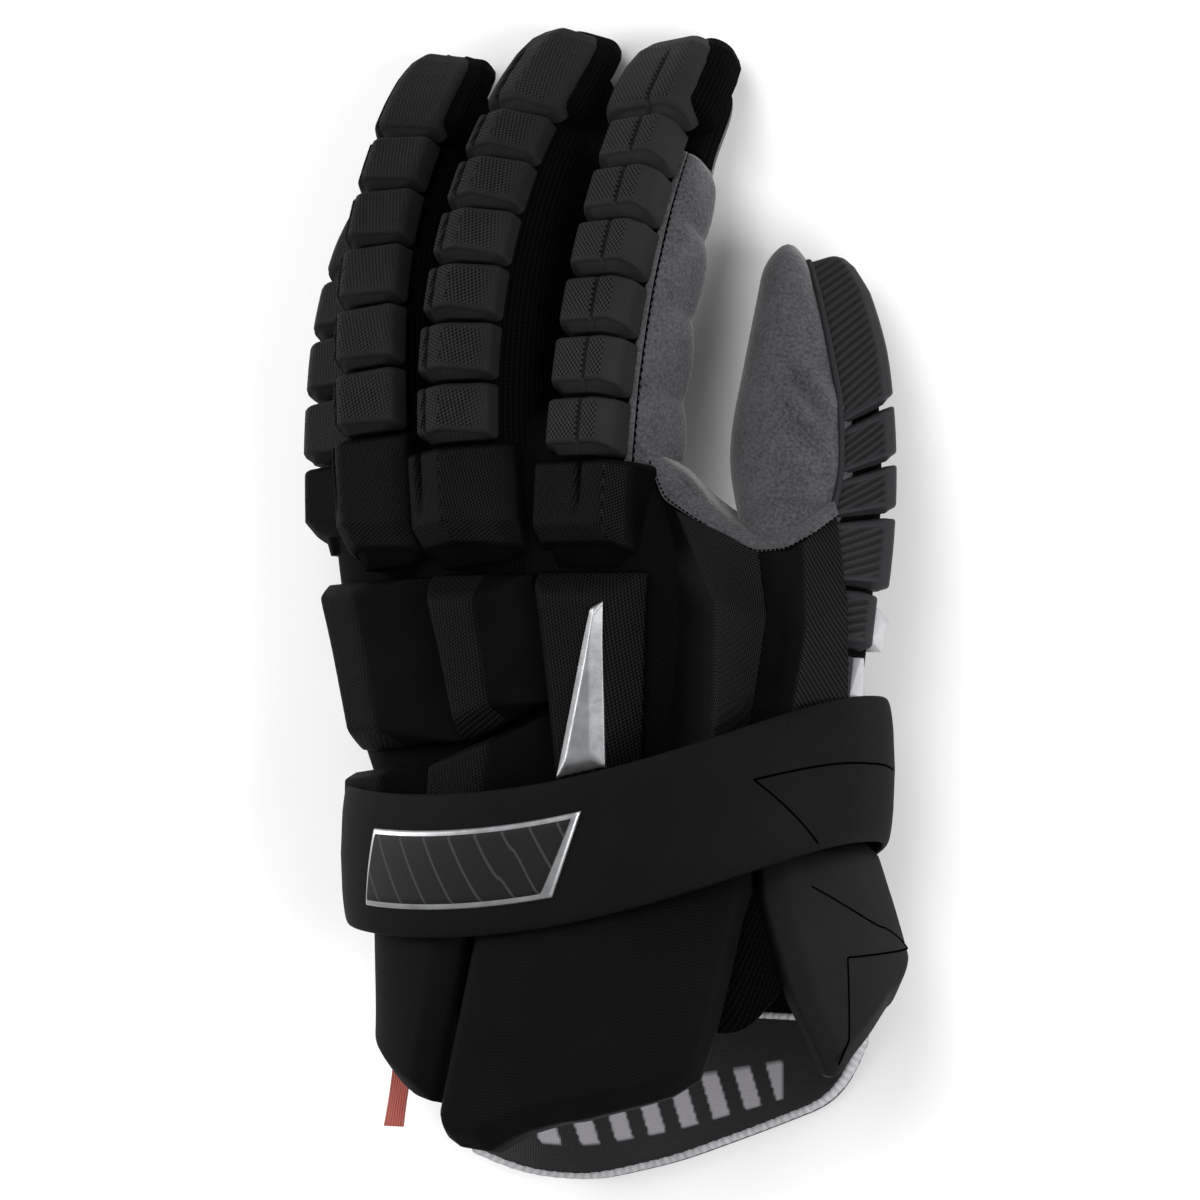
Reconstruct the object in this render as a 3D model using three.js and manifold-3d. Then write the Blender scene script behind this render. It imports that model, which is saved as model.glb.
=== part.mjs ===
// Lacrosse glove for the left hand, lying palm down as it rests by itself.
// Millimetres. +Y points to the fingertips, +X to the thumb and +Z up. The floor is z = 0.
import * as THREE from 'three';
import Module from 'manifold-3d';

const wasm = await Module();
wasm.setup();
const DEGREE = Math.PI / 180;

// Overall sizes, which the shares in the tables below follow
const GLOVE_LENGTH = 318;
const HAND_WIDTH = 120;
const KNUCKLE_HEIGHT = 80;

// Where the middle of the outline lies from the middle of the palm, as a share of the hand width
const OUTLINE_MIDDLE = 0.1875;

// Walls, paddings and clearances
const WALL = 2.2;
const GAP = 0.3;
const FINGER_PAD_HEIGHT = 11;
const THUMB_PAD_HEIGHT = 12;
const BACK_BLOCK_HEIGHT = 12;
const SADDLE_HEIGHT = 7;
const PAD_SPACE = 1.4;
const CUFF_PLATE_THICKNESS = 8;
const PANEL_THICKNESS = 5;
const BINDING_WIDTH = 3;
const BADGE_THICKNESS = 2;
const WHITE_PLATE_THICKNESS = 5;
const STRAP_WIDTH = 38;
const STRAP_THICKNESS = 4;
const STRAP_BEVEL = 1;
const TAB_WIDTH = 6;
const TAB_LENGTH = 11;
const TAB_THICKNESS = 1.4;

// How finely the round forms are cut
const RING_POINTS = 28;
const CORNER_POINTS = 4;
const PATH_STEPS = 80;
const STRAP_STEPS = 36;
const ROUNDNESS = 2.5;

// Digits. The crest line of the pads starts over the knuckle at x, y, z (shares of the overall sizes) and has this
// length; pad and stall widths are shares of the hand width, depths of the knuckle height; roll leans the back to -X.
const DIGITS = {
  index: { x: 0.298, y: 0.0925, z: 0.975, length: 0.462, pad: 0.26, stall: 0.208, depth: 0.3, roll: 5 },
  middle: { x: -0.017, y: 0.102, z: 1.0125, length: 0.476, pad: 0.24, stall: 0.205, depth: 0.3, roll: 11 },
  ring: { x: -0.283, y: 0.1035, z: 0.9375, length: 0.444, pad: 0.213, stall: 0.19, depth: 0.29, roll: 16 },
  pinky: { x: -0.487, y: 0.085, z: 0.7, length: 0.321, pad: 0.2, stall: 0.175, depth: 0.27, roll: 28 },
  thumb: { x: 0.883, y: -0.132, z: 0.7, length: 0.462, pad: 0.225, stall: 0.205, depth: 0.36, roll: -75 },
};

// How each digit bends: at a share of its length the crest dips by tilt and turns to the thumb by turn, in degrees
const BENDS = {
  index: [
    { at: 0, tilt: 5, turn: 0 },
    { at: 0.24, tilt: 14, turn: 0 },
    { at: 0.47, tilt: 24, turn: 0 },
    { at: 0.7, tilt: 35, turn: -1 },
    { at: 1, tilt: 50, turn: -2 },
  ],
  middle: [
    { at: 0, tilt: 4, turn: -7 },
    { at: 0.25, tilt: 13, turn: -3 },
    { at: 0.48, tilt: 27, turn: -1 },
    { at: 0.69, tilt: 39, turn: 1 },
    { at: 1, tilt: 50, turn: 6 },
  ],
  ring: [
    { at: 0, tilt: 4, turn: -7 },
    { at: 0.27, tilt: 15, turn: -9 },
    { at: 0.54, tilt: 29, turn: -6 },
    { at: 0.84, tilt: 38, turn: 2 },
    { at: 1, tilt: 45, turn: 8 },
  ],
  pinky: [
    { at: 0, tilt: 3, turn: -3 },
    { at: 0.37, tilt: 17, turn: -6 },
    { at: 0.78, tilt: 34, turn: 0 },
    { at: 1, tilt: 45, turn: 3 },
  ],
  thumb: [
    { at: 0, tilt: 5, turn: 3 },
    { at: 0.33, tilt: 9.5, turn: 3 },
    { at: 0.51, tilt: 12, turn: -6 },
    { at: 0.7, tilt: 16, turn: -16 },
    { at: 1, tilt: 20, turn: -38 },
  ],
};

// Pads on the fingers: count pads from first to tip, then the tip pad; the knuckle block lies from back to front
const PADS = {
  index: { first: 0.064, tip: 0.757, count: 6, back: -0.135, front: 0.056, block: 0.305 },
  middle: { first: 0.068, tip: 0.752, count: 6, back: -0.15, front: 0.06, block: 0.275 },
  ring: { first: 0.09, tip: 0.755, count: 5, back: -0.17, front: 0.082, block: 0.222 },
  pinky: { first: 0.11, tip: 0.667, count: 3, back: -0.14, front: 0.1, block: 0.21 },
};

// Guard blocks of the thumb: from and to along it, inner and outer across it as shares of the pad width
const THUMB_BLOCKS = [
  { name: 'thumb_guard_1', from: 0.075, to: 0.2, inner: 0, outer: 0.5 },
  { name: 'thumb_guard_2', from: 0.205, to: 0.315, inner: -0.5, outer: 0.24 },
  { name: 'thumb_guard_3', from: 0.315, to: 0.45, inner: -0.5, outer: 0.5 },
  { name: 'thumb_guard_4', from: 0.45, to: 0.54, inner: -0.5, outer: 0.5 },
  { name: 'thumb_guard_5', from: 0.54, to: 0.645, inner: -0.5, outer: 0.5 },
];
const THUMB_TIP_FROM = 0.645;
const WHITE_PLATES = [
  { name: 'thumb_plate_1', from: 0.075, to: 0.2, inner: -0.42, outer: -0.04 },
  { name: 'thumb_plate_2', from: 0.205, to: 0.315, inner: 0.29, outer: 0.5 },
];

// Cross-section of a pad: across its width, up its height. The notch is the groove along its back.
const PAD_PROFILE = [
  { across: 0, up: 0 },
  { across: 1, up: 0 },
  { across: 1, up: 0.42 },
  { across: 0.64, up: 1 },
  { across: 0.4, up: 1 },
  { across: 0.36, up: 0.84 },
  { across: 0.32, up: 1 },
  { across: 0.16, up: 0.95 },
  { across: 0, up: 0.5 },
];

// How a pad swells along its length, for a plain pad and for the pad round a fingertip
const PAD_SWELL = [
  { at: 0, width: 0.93, rise: 0.66 },
  { at: 0.2, width: 1, rise: 0.98 },
  { at: 0.88, width: 1, rise: 1 },
  { at: 1, width: 0.95, rise: 0.8 },
];
const TIP_SWELL = [
  { at: 0, width: 0.93, rise: 0.7 },
  { at: 0.12, width: 1, rise: 1 },
  { at: 0.5, width: 0.99, rise: 1 },
  { at: 0.78, width: 0.9, rise: 0.93 },
  { at: 0.93, width: 0.72, rise: 0.76 },
  { at: 1, width: 0.5, rise: 0.5 },
];

// How a finger's or the thumb's stall swells along it, from inside the palm to its round end: size scales its
// section about the middle, and depth is how deep it is under the pads
const STALL_SWELL = [
  { at: -0.2, size: 0.7, depth: 1.1 },
  { at: 0, size: 1, depth: 1.14 },
  { at: 0.16, size: 1, depth: 1.12 },
  { at: 0.32, size: 1, depth: 1.06 },
  { at: 0.48, size: 1, depth: 1 },
  { at: 0.64, size: 1, depth: 0.93 },
  { at: 0.8, size: 0.98, depth: 0.85 },
  { at: 0.9, size: 0.92, depth: 0.8 },
  { at: 0.96, size: 0.76, depth: 0.77 },
  { at: 0.985, size: 0.5, depth: 0.75 },
];
const THUMB_MOUTH = 0.02;

// Sections of the hand, from the finger roots to the wrist, and of the cuff behind it. at is a share of the length,
// middle and half of the width, low and high of the height; roll leans the back to -X.
const HAND_SECTIONS = [
  { at: 0.145, middle: -0.05, half: 0.417, low: 0.4625, high: 0.7875, roll: 13 },
  { at: 0.1, middle: -0.033, half: 0.483, low: 0.275, high: 0.85, roll: 10 },
  { at: 0.0315, middle: 0.05, half: 0.55, low: 0.225, high: 0.85, roll: 8 },
  { at: -0.038, middle: 0.142, half: 0.608, low: 0.2, high: 0.85, roll: 5 },
  { at: -0.11, middle: 0.2, half: 0.617, low: 0.1875, high: 0.8625, roll: 2 },
  { at: -0.195, middle: 0.242, half: 0.55, low: 0.1875, high: 0.8875, roll: 0 },
];
const SEAT_LOW = (PANEL_THICKNESS + GAP) / KNUCKLE_HEIGHT;
const CUFF_SECTIONS = [
  { at: -0.195, middle: 0.242, half: 0.55, low: 0.1875, high: 0.8875, roll: 0 },
  { at: -0.267, middle: 0.3, half: 0.55, low: 0.106, high: 0.994, roll: 0 },
  { at: -0.352, middle: 0.342, half: 0.575, low: SEAT_LOW, high: 1.051, roll: 0 },
  { at: -0.455, middle: 0.37, half: 0.605, low: SEAT_LOW, high: 1.09, roll: 0 },
];
const SLEEVE_END = -0.352;

// Outlines seen from above of the blocks on the back of the hand: x shares of the width, y of the length
const BACK_BLOCKS = {
  index_back_block: [[0.19, 0.024], [0.45, 0.024], [0.44, -0.16], [0.26, -0.16]],
  middle_back_block: [[-0.085, 0.022], [0.175, 0.022], [0.23, -0.083], [0.02, -0.12]],
  ring_back_block: [[-0.45, 0.016], [-0.1, 0.02], [0.003, -0.12], [-0.27, -0.14], [-0.4, -0.08]],
  lower_back_block_1: [[-0.31, -0.148], [-0.065, -0.136], [-0.065, -0.19], [-0.31, -0.19]],
  lower_back_block_2: [[-0.045, -0.134], [0.235, -0.092], [0.245, -0.19], [-0.045, -0.19]],
};
const SADDLE_PADS = {
  saddle_pad_inner: [[0.465, 0.07], [0.53, 0.085], [0.65, 0.035], [0.7, -0.05], [0.7, -0.135], [0.455, -0.135]],
  saddle_pad_outer: [[0.67, 0.034], [0.74, 0.045], [0.9, 0.02], [0.9, -0.135], [0.72, -0.135], [0.72, -0.05]],
};
const BADGE_OUTLINE = [[0.367, 0.001], [0.32, -0.008], [0.275, -0.148], [0.38, -0.138]];
const BLOCK_TAPER = 0.86;
const SADDLE_TAPER = 0.96;

// Outlines seen from above of the three cuff plates, and how low each reaches as a share of the height
const CUFF_PLATES = {
  cuff_plate_centre: {
    low: 0.55,
    outline: [[0.01, -0.2], [0.75, -0.2], [0.735, -0.258], [0.6, -0.415], [0.5, -0.43], [0.19, -0.436],
      [0.04, -0.41], [0.01, -0.39]],
  },
  cuff_plate_left: {
    low: 0.45,
    outline: [[-0.5, -0.21], [-0.005, -0.2], [-0.005, -0.4], [-0.2, -0.412], [-0.34, -0.4], [-0.5, -0.37]],
  },
  cuff_plate_right: {
    low: 0.36,
    outline: [[0.765, -0.2], [1.1, -0.2], [1.1, -0.29], [1.01, -0.308], [0.917, -0.374], [0.892, -0.387],
      [0.765, -0.262]],
  },
};

// Palm cuff panel: at an x share of the width, where it starts and ends in shares of the length, and how high it lies
const PANEL_SECTIONS = [
  { at: -0.25, start: -0.36, end: -0.455, lift: 0.21 },
  { at: -0.17, start: -0.35, end: -0.48, lift: 0.1 },
  { at: -0.04, start: -0.345, end: -0.498, lift: 0.025 },
  { at: 0.12, start: -0.342, end: -0.499, lift: 0 },
  { at: 0.42, start: -0.342, end: -0.468, lift: 0 },
  { at: 0.62, start: -0.346, end: -0.437, lift: 0.026 },
  { at: 0.79, start: -0.352, end: -0.405, lift: 0.115 },
  { at: 0.9, start: -0.356, end: -0.385, lift: 0.27 },
];

// Wrist strap: a loop round the wrist whose right side climbs towards the thumb
const STRAP_MIDDLE = 0.258;
const STRAP_HALF = 0.652;
const STRAP_AT = -0.222;
const STRAP_CLIMB = 0.088;
const STRAP_LOWEST = -0.083;
const STRAP_SEAT = 0.994;
const TAB_AT = { x: -0.22, y: -0.411 };

// Where knit turns to suede on a digit: shares of the stall's depth below its middle, on the -X and the +X side
const SUEDE_EDGE = {
  index: { left: -0.2, right: 0.32 },
  middle: { left: -0.2, right: -0.2 },
  ring: { left: -0.2, right: -0.2 },
  pinky: { left: -0.2, right: -0.2 },
  thumb: { left: 0.45, right: -0.2 },
};

// Spaces that cut the pieces apart, and the layers on the back
const BEYOND = 20;
const SPACE_MARGIN = 1.5;
const SPACE_STEPS = 10;
const CUTTER_SIZE = 800;
const BACK_FOOT = 0.35;
const SADDLE_FOOT = 0.56;
const LAYER_TOP = 1.4;
const KNUCKLE_DEPTH = 18;

// Materials
const fabric = new THREE.MeshStandardMaterial({ color: '#1b1b1d', roughness: 0.82, metalness: 0 });
const knit = new THREE.MeshStandardMaterial({ color: '#0b0b0c', roughness: 0.95, metalness: 0 });
const suede = new THREE.MeshStandardMaterial({ color: '#55565a', roughness: 0.95, metalness: 0 });
const mesh = new THREE.MeshStandardMaterial({ color: '#101011', roughness: 0.9, metalness: 0 });
const strapCloth = new THREE.MeshStandardMaterial({ color: '#161617', roughness: 0.75, metalness: 0 });
const silver = new THREE.MeshStandardMaterial({ color: '#b9bbbe', roughness: 0.35, metalness: 0.6 });
const whitePlastic = new THREE.MeshStandardMaterial({ color: '#ececec', roughness: 0.5, metalness: 0 });
const redTab = new THREE.MeshStandardMaterial({ color: '#b03028', roughness: 0.8, metalness: 0 });

const glove = new THREE.Group();
glove.position.x = -OUTLINE_MIDDLE * HAND_WIDTH;

// Solids from rings of points
function solidOf(positions, faces) {
  let volume = 0;
  const corner = (i) => new THREE.Vector3().fromArray(positions, 3 * i);
  for (let f = 0; f < faces.length; f += 3) {
    volume += corner(faces[f]).dot(corner(faces[f + 1]).cross(corner(faces[f + 2])));
  }
  const outward = volume > 0 ? faces : [...faces].reverse();
  return new wasm.Manifold(new wasm.Mesh({
    numProp: 3,
    vertProperties: new Float32Array(positions),
    triVerts: new Uint32Array(outward),
  }));
}

// Caps for rings: cap triangles go round the same way as the ring
function outlineCap(outline) {
  const cap = THREE.ShapeUtils.triangulateShape(outline, []).flat();
  return THREE.ShapeUtils.isClockWise(outline) ? cap.reverse() : cap;
}

function fanCap(count) {
  const cap = [];
  for (let i = 1; i < count - 1; i++) cap.push(0, i, i + 1);
  return cap;
}

// A solid through the rings, closed by caps at both ends
function loft(rings, cap = fanCap(rings[0].length)) {
  const count = rings[0].length;
  const last = (rings.length - 1) * count;
  const positions = rings.flatMap((ring) => ring.flatMap((p) => p.toArray()));
  const faces = [];
  for (let r = 0; r < rings.length - 1; r++) faces.push(...bandFaces(r * count, (r + 1) * count, count));
  for (let c = 0; c < cap.length; c += 3) {
    faces.push(cap[c], cap[c + 2], cap[c + 1]);
    faces.push(last + cap[c], last + cap[c + 1], last + cap[c + 2]);
  }
  return solidOf(positions, faces);
}

// A closed loop through the rings, such as a strap
function loopLoft(rings) {
  const count = rings[0].length;
  const positions = rings.flatMap((ring) => ring.flatMap((p) => p.toArray()));
  const faces = rings.flatMap((_, r) => bandFaces(r * count, ((r + 1) % rings.length) * count, count));
  return solidOf(positions, faces);
}

function bandFaces(here, next, count) {
  const faces = [];
  for (let i = 0; i < count; i++) {
    const j = (i + 1) % count;
    faces.push(here + i, here + j, next + j, here + i, next + j, next + i);
  }
  return faces;
}

// Adds a piece, without the offcuts that its cuts leave
function addPiece(name, solid, material) {
  const bodies = solid.decompose();
  const largest = bodies.reduce((a, b) => (b.volume() > a.volume() ? b : a));
  const { vertProperties, triVerts } = largest.getMesh();
  const geometry = new THREE.BufferGeometry();
  geometry.setAttribute('position', new THREE.BufferAttribute(vertProperties, 3));
  geometry.setIndex(new THREE.BufferAttribute(triVerts, 1));
  geometry.computeVertexNormals();
  const piece = new THREE.Mesh(geometry, material);
  piece.name = name;
  glove.add(piece);
}

// The crest line of a digit: frames with T along it, N out of its back and B across it to the thumb
function crestOf(name) {
  const digit = DIGITS[name];
  const rows = BENDS[name];
  const length = digit.length * GLOVE_LENGTH;
  const bendAt = (at) => {
    const next = Math.max(1, rows.findIndex((row) => row.at >= Math.min(at, 1)));
    const [low, high] = [rows[next - 1], rows[next]];
    const share = THREE.MathUtils.clamp((at - low.at) / (high.at - low.at), 0, 1);
    const mix = (key) => THREE.MathUtils.lerp(low[key], high[key], share) * DEGREE;
    return { tilt: mix('tilt'), turn: mix('turn') };
  };
  const along = ({ tilt, turn }) =>
    new THREE.Vector3(Math.sin(turn) * Math.cos(tilt), Math.cos(turn) * Math.cos(tilt), -Math.sin(tilt));
  const points = [
    new THREE.Vector3(digit.x * HAND_WIDTH, digit.y * GLOVE_LENGTH, digit.z * KNUCKLE_HEIGHT),
  ];
  for (let i = 0; i < PATH_STEPS; i++) {
    const direction = along(bendAt((i + 0.5) / PATH_STEPS));
    points.push(points[i].clone().addScaledVector(direction, length / PATH_STEPS));
  }
  const frameAt = (at) => {
    const bend = bendAt(at);
    const T = along(bend);
    const flatB = new THREE.Vector3(Math.cos(bend.turn), -Math.sin(bend.turn), 0);
    const flatN = new THREE.Vector3().crossVectors(flatB, T);
    const roll = digit.roll * DEGREE;
    const N = flatN.clone().multiplyScalar(Math.cos(roll)).addScaledVector(flatB, -Math.sin(roll));
    const B = flatB.clone().multiplyScalar(Math.cos(roll)).addScaledVector(flatN, Math.sin(roll));
    const step = THREE.MathUtils.clamp(at, 0, 1) * PATH_STEPS;
    const whole = Math.min(Math.floor(step), PATH_STEPS - 1);
    const P = points[whole].clone().lerp(points[whole + 1], step - whole);
    P.addScaledVector(T, (at - THREE.MathUtils.clamp(at, 0, 1)) * length);
    return { P, T, N, B };
  };
  return { frameAt, length, digit };
}

function place(frame, across, up) {
  return frame.P.clone().addScaledVector(frame.B, across).addScaledVector(frame.N, up);
}

const FINGERS = ['index', 'middle', 'ring', 'pinky'];
const CRESTS = Object.fromEntries(Object.keys(DIGITS).map((name) => [name, crestOf(name)]));
const padHeight = (name) => (name === 'thumb' ? THUMB_PAD_HEIGHT : FINGER_PAD_HEIGHT);

// Pads. left and right are millimetres across the crest, and depth is how far the pad reaches below it.
function padSolid(crest, from, to, left, right, depth, swell) {
  const outline = PAD_PROFILE.map((p) => new THREE.Vector2(p.across, p.up));
  const rings = swell.map(({ at, width, rise }) => {
    const frame = crest.frameAt(from + (to - from) * at);
    const middle = (left + right) / 2;
    return PAD_PROFILE.map((p) => {
      const across = middle + (p.across - 0.5) * (right - left) * width;
      return place(frame, across, -depth + p.up * rise * depth);
    });
  });
  return loft(rings, outlineCap(outline));
}

// Stalls: a rounded box section under the pads, flattened where it lies on the floor
function stallRing(frame, halfWidth, halfDepth, below, floor) {
  const corner = 0.55 * Math.min(halfWidth, halfDepth);
  const ring = [];
  for (let quarter = 0; quarter < 4; quarter++) {
    const sideways = quarter === 0 || quarter === 3 ? 1 : -1;
    const upward = quarter < 2 ? 1 : -1;
    for (let i = 0; i < CORNER_POINTS; i++) {
      const angle = (quarter + i / (CORNER_POINTS - 1)) * 90 * DEGREE;
      const across = sideways * (halfWidth - corner) + corner * Math.cos(angle);
      const up = upward * (halfDepth - corner) + corner * Math.sin(angle);
      const point = place(frame, across, up - below);
      point.z = Math.max(point.z, floor);
      ring.push(point);
    }
  }
  return ring;
}

function stall(name, grow) {
  const { frameAt, length, digit } = CRESTS[name];
  const halfWidth = (digit.stall * HAND_WIDTH) / 2;
  const halfDepth = (digit.depth * KNUCKLE_HEIGHT) / 2;
  const rows = STALL_SWELL.filter((row) => name !== 'thumb' || row.at > 0);
  if (name === 'thumb') rows.unshift({ at: THUMB_MOUTH, size: 1, depth: 1 });
  const lastRow = rows.at(-1);
  return loft(rows.map((row) => {
    const end = row === lastRow ? grow / length : 0;
    const width = halfWidth * row.size + grow;
    const depth = halfDepth * row.depth;
    const below = padHeight(name) + GAP + depth;
    return stallRing(frameAt(row.at + end), width, depth * row.size + grow, below, -grow);
  }));
}

// Rounded sections of the hand and the cuff
function sectionRing(row, grow) {
  const halfWidth = row.half * HAND_WIDTH + grow;
  const halfHeight = ((row.high - row.low) / 2) * KNUCKLE_HEIGHT + grow;
  const roll = row.roll * DEGREE;
  const ring = [];
  for (let i = 0; i < RING_POINTS; i++) {
    const angle = ((i + 0.5) / RING_POINTS) * 2 * Math.PI;
    const across = halfWidth * rounded(Math.cos(angle));
    const up = halfHeight * rounded(Math.sin(angle));
    ring.push(new THREE.Vector3(
      row.middle * HAND_WIDTH + across * Math.cos(roll) - up * Math.sin(roll),
      row.at * GLOVE_LENGTH,
      ((row.high + row.low) / 2) * KNUCKLE_HEIGHT + across * Math.sin(roll) + up * Math.cos(roll),
    ));
  }
  return ring;
}

function rounded(value) {
  return Math.sign(value) * Math.abs(value) ** (2 / ROUNDNESS);
}

// The rings with one more at either end, moved on along Y, or with the end ring moved back where the run is negative
function extended(rings, front, behind) {
  const moved = (ring, y) => ring.map((p) => new THREE.Vector3(p.x, p.y + y, p.z));
  const first = moved(rings[0], front);
  const last = moved(rings.at(-1), -behind);
  return [
    ...(front === 0 ? [] : [first]),
    ...rings.slice(front < 0 ? 1 : 0, behind < 0 ? -1 : undefined),
    ...(behind === 0 ? [] : [last]),
  ];
}

function handSolid(grow, overrun) {
  const rings = HAND_SECTIONS.map((row) => sectionRing(row, grow));
  return loft(extended(rings, grow, overrun));
}

function cuffSolid(grow, overrun) {
  const rings = CUFF_SECTIONS.map((row) => sectionRing(row, grow));
  return loft(extended(rings, overrun, overrun));
}

// The skin of the hand with all five stalls, grown outwards, or shrunk to its hollow by a negative number
const handHull = (grow, overrun = 0) =>
  Object.keys(DIGITS).reduce((hull, name) => hull.add(stall(name, grow)), handSolid(grow, overrun));
const clearOfHand = handHull(GAP, GAP);
const clearOfStrap = strapLoop(GAP);

// A block between two flat outlines, tapered upwards
function prism(outline, taper, low, high) {
  const points = outline.map(([x, y]) => new THREE.Vector2(x * HAND_WIDTH, y * GLOVE_LENGTH));
  const centre = points.reduce((sum, p) => sum.add(p), new THREE.Vector2()).divideScalar(points.length);
  const ringAt = (z, scale) => points.map((p) => {
    const q = p.clone().sub(centre).multiplyScalar(scale).add(centre);
    return new THREE.Vector3(q.x, q.y, z);
  });
  return loft([ringAt(low, 1), ringAt(high, taper)], outlineCap(points));
}

function spaceBehind(y) {
  const box = new THREE.BoxGeometry(CUTTER_SIZE, CUTTER_SIZE, CUTTER_SIZE);
  box.translate(0, y - CUTTER_SIZE / 2, 0);
  return boxSolid(box);
}

// BoxGeometry doubles its corners, so its solid goes through the eight of its box
function boxSolid(box) {
  box.computeBoundingBox();
  const { min, max } = box.boundingBox;
  const ringAt = (z) => [[min.x, min.y], [max.x, min.y], [max.x, max.y], [min.x, max.y]]
    .map(([x, y]) => new THREE.Vector3(x, y, z));
  return loft([ringAt(min.z), ringAt(max.z)]);
}

// The space on the palm side of a digit below its suede edge, or all the space under its crest where edge is null
function digitSpace(name, edge, from, to, grow) {
  const { frameAt, digit } = CRESTS[name];
  const halfWidth = (digit.stall * HAND_WIDTH) / 2 + SPACE_MARGIN + grow;
  const depth = digit.depth * KNUCKLE_HEIGHT;
  const below = padHeight(name) + GAP + depth / 2;
  const left = edge ? edge.left * depth - below + grow : 0;
  const right = edge ? edge.right * depth - below + grow : 0;
  const bottom = -below - depth - grow;
  const rings = [];
  for (let i = 0; i <= SPACE_STEPS; i++) {
    const frame = frameAt(from + ((to - from) * i) / SPACE_STEPS);
    rings.push([
      place(frame, -halfWidth, left),
      place(frame, -halfWidth, bottom),
      place(frame, halfWidth, bottom),
      place(frame, halfWidth, right),
    ]);
  }
  return loft(rings);
}

// The space on the palm side of the hand, below the middle of each section
function handSpace(grow) {
  const lastSection = HAND_SECTIONS.length - 1;
  return loft(HAND_SECTIONS.map((row, i) => {
    const roll = row.roll * DEGREE;
    const overrun = i === 0 ? grow : i === lastSection ? -BEYOND : 0;
    const half = row.half * HAND_WIDTH + BEYOND;
    const at = (across, up) => new THREE.Vector3(
      row.middle * HAND_WIDTH + across * Math.cos(roll) - up * Math.sin(roll),
      row.at * GLOVE_LENGTH + overrun,
      ((row.high + row.low) / 2) * KNUCKLE_HEIGHT + across * Math.sin(roll) + up * Math.cos(roll),
    );
    return [at(-half, grow), at(half, grow), at(half, -KNUCKLE_HEIGHT), at(-half, -KNUCKLE_HEIGHT)];
  }));
}

// Shell of the glove, cut into its fabric back, knit stalls and suede palm
function addShell() {
  const shell = handHull(0).subtract(handHull(-WALL, BEYOND));
  const thumbShell = shell.intersect(digitSpace('thumb', null, 0, 1.1, 0)).subtract(handSolid(GAP, GAP));
  const handShell = shell.subtract(digitSpace('thumb', null, 0, 1.1, GAP).subtract(handSolid(0, 0)));
  const palmSide = (grow) => FINGERS.reduce(
    (space, name) => space.add(digitSpace(name, SUEDE_EDGE[name], -0.05, 1.1, grow)),
    handSpace(grow),
  );
  const splitY = HAND_SECTIONS[0].at * GLOVE_LENGTH + GAP;
  const back = handShell.subtract(palmSide(GAP));
  const fingers = back.subtract(spaceBehind(splitY + GAP));
  const thumbPalm = (grow) => digitSpace('thumb', SUEDE_EDGE.thumb, 0, 1.1, grow);
  addPiece('palm_suede', handShell.intersect(palmSide(0)), suede);
  addPiece('hand_base', back.intersect(spaceBehind(splitY)), fabric);
  FINGERS.forEach((name) => {
    addPiece(`${name}_stall`, fingers.intersect(digitSpace(name, null, 0, 1.1, SPACE_MARGIN)), knit);
  });
  addPiece('thumb_suede', thumbShell.intersect(thumbPalm(0)), suede);
  addPiece('thumb_stall', thumbShell.subtract(thumbPalm(GAP)), knit);
}

function addFingerPads() {
  FINGERS.forEach((name) => {
    const crest = CRESTS[name];
    const { first, tip, count, back, front, block } = PADS[name];
    const half = (crest.digit.pad * HAND_WIDTH) / 2;
    const pitch = (tip - first) / count;
    const space = PAD_SPACE / crest.length;
    for (let i = 0; i < count; i++) {
      const from = first + i * pitch;
      const pad = padSolid(crest, from, from + pitch - space, -half, half, FINGER_PAD_HEIGHT, PAD_SWELL);
      addPiece(`${name}_pad_${i + 1}`, pad.subtract(clearOfHand), fabric);
    }
    const tipPad = padSolid(crest, tip, 1, -half, half, FINGER_PAD_HEIGHT, TIP_SWELL);
    addPiece(`${name}_tip_pad`, tipPad.subtract(clearOfHand), fabric);
    const blockHalf = (block * HAND_WIDTH) / 2;
    const knuckle = padSolid(crest, back, front, -blockHalf, blockHalf, KNUCKLE_DEPTH, PAD_SWELL);
    addPiece(`${name}_knuckle_block`, knuckle.subtract(clearOfHand), fabric);
  });
}

function addThumbGuard() {
  const crest = CRESTS.thumb;
  const width = crest.digit.pad * HAND_WIDTH;
  const space = PAD_SPACE / crest.length;
  for (const { name, from, to, inner, outer } of THUMB_BLOCKS) {
    const [left, right] = [inner * width, outer * width];
    const block = padSolid(crest, from, to - space, left, right, THUMB_PAD_HEIGHT, PAD_SWELL);
    addPiece(name, block.subtract(clearOfHand).subtract(clearOfStrap), fabric);
  }
  const tip = padSolid(crest, THUMB_TIP_FROM, 1, -width / 2, width / 2, THUMB_PAD_HEIGHT, TIP_SWELL);
  addPiece('thumb_tip_guard', tip, fabric);
  for (const { name, from, to, inner, outer } of WHITE_PLATES) {
    const rings = [from, (from + to) / 2, to - space].map((at) => {
      const frame = crest.frameAt(at);
      const [bottom, top] = [-THUMB_PAD_HEIGHT, -THUMB_PAD_HEIGHT + WHITE_PLATE_THICKNESS];
      const [left, right] = [inner * width, outer * width];
      return [[left, bottom], [right, bottom], [right, top], [left, top]].map(([b, n]) => place(frame, b, n));
    });
    addPiece(name, loft(rings).subtract(clearOfHand).subtract(clearOfStrap), whitePlastic);
  }
}

// A padding that follows the hand's skin between two heights, inside an outline seen from above
function skinLayer(outline, taper, foot, from, to) {
  const column = prism(outline, taper, KNUCKLE_HEIGHT * foot, KNUCKLE_HEIGHT * LAYER_TOP);
  return column.intersect(handHull(to, 0)).subtract(handHull(from, GAP));
}

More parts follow.
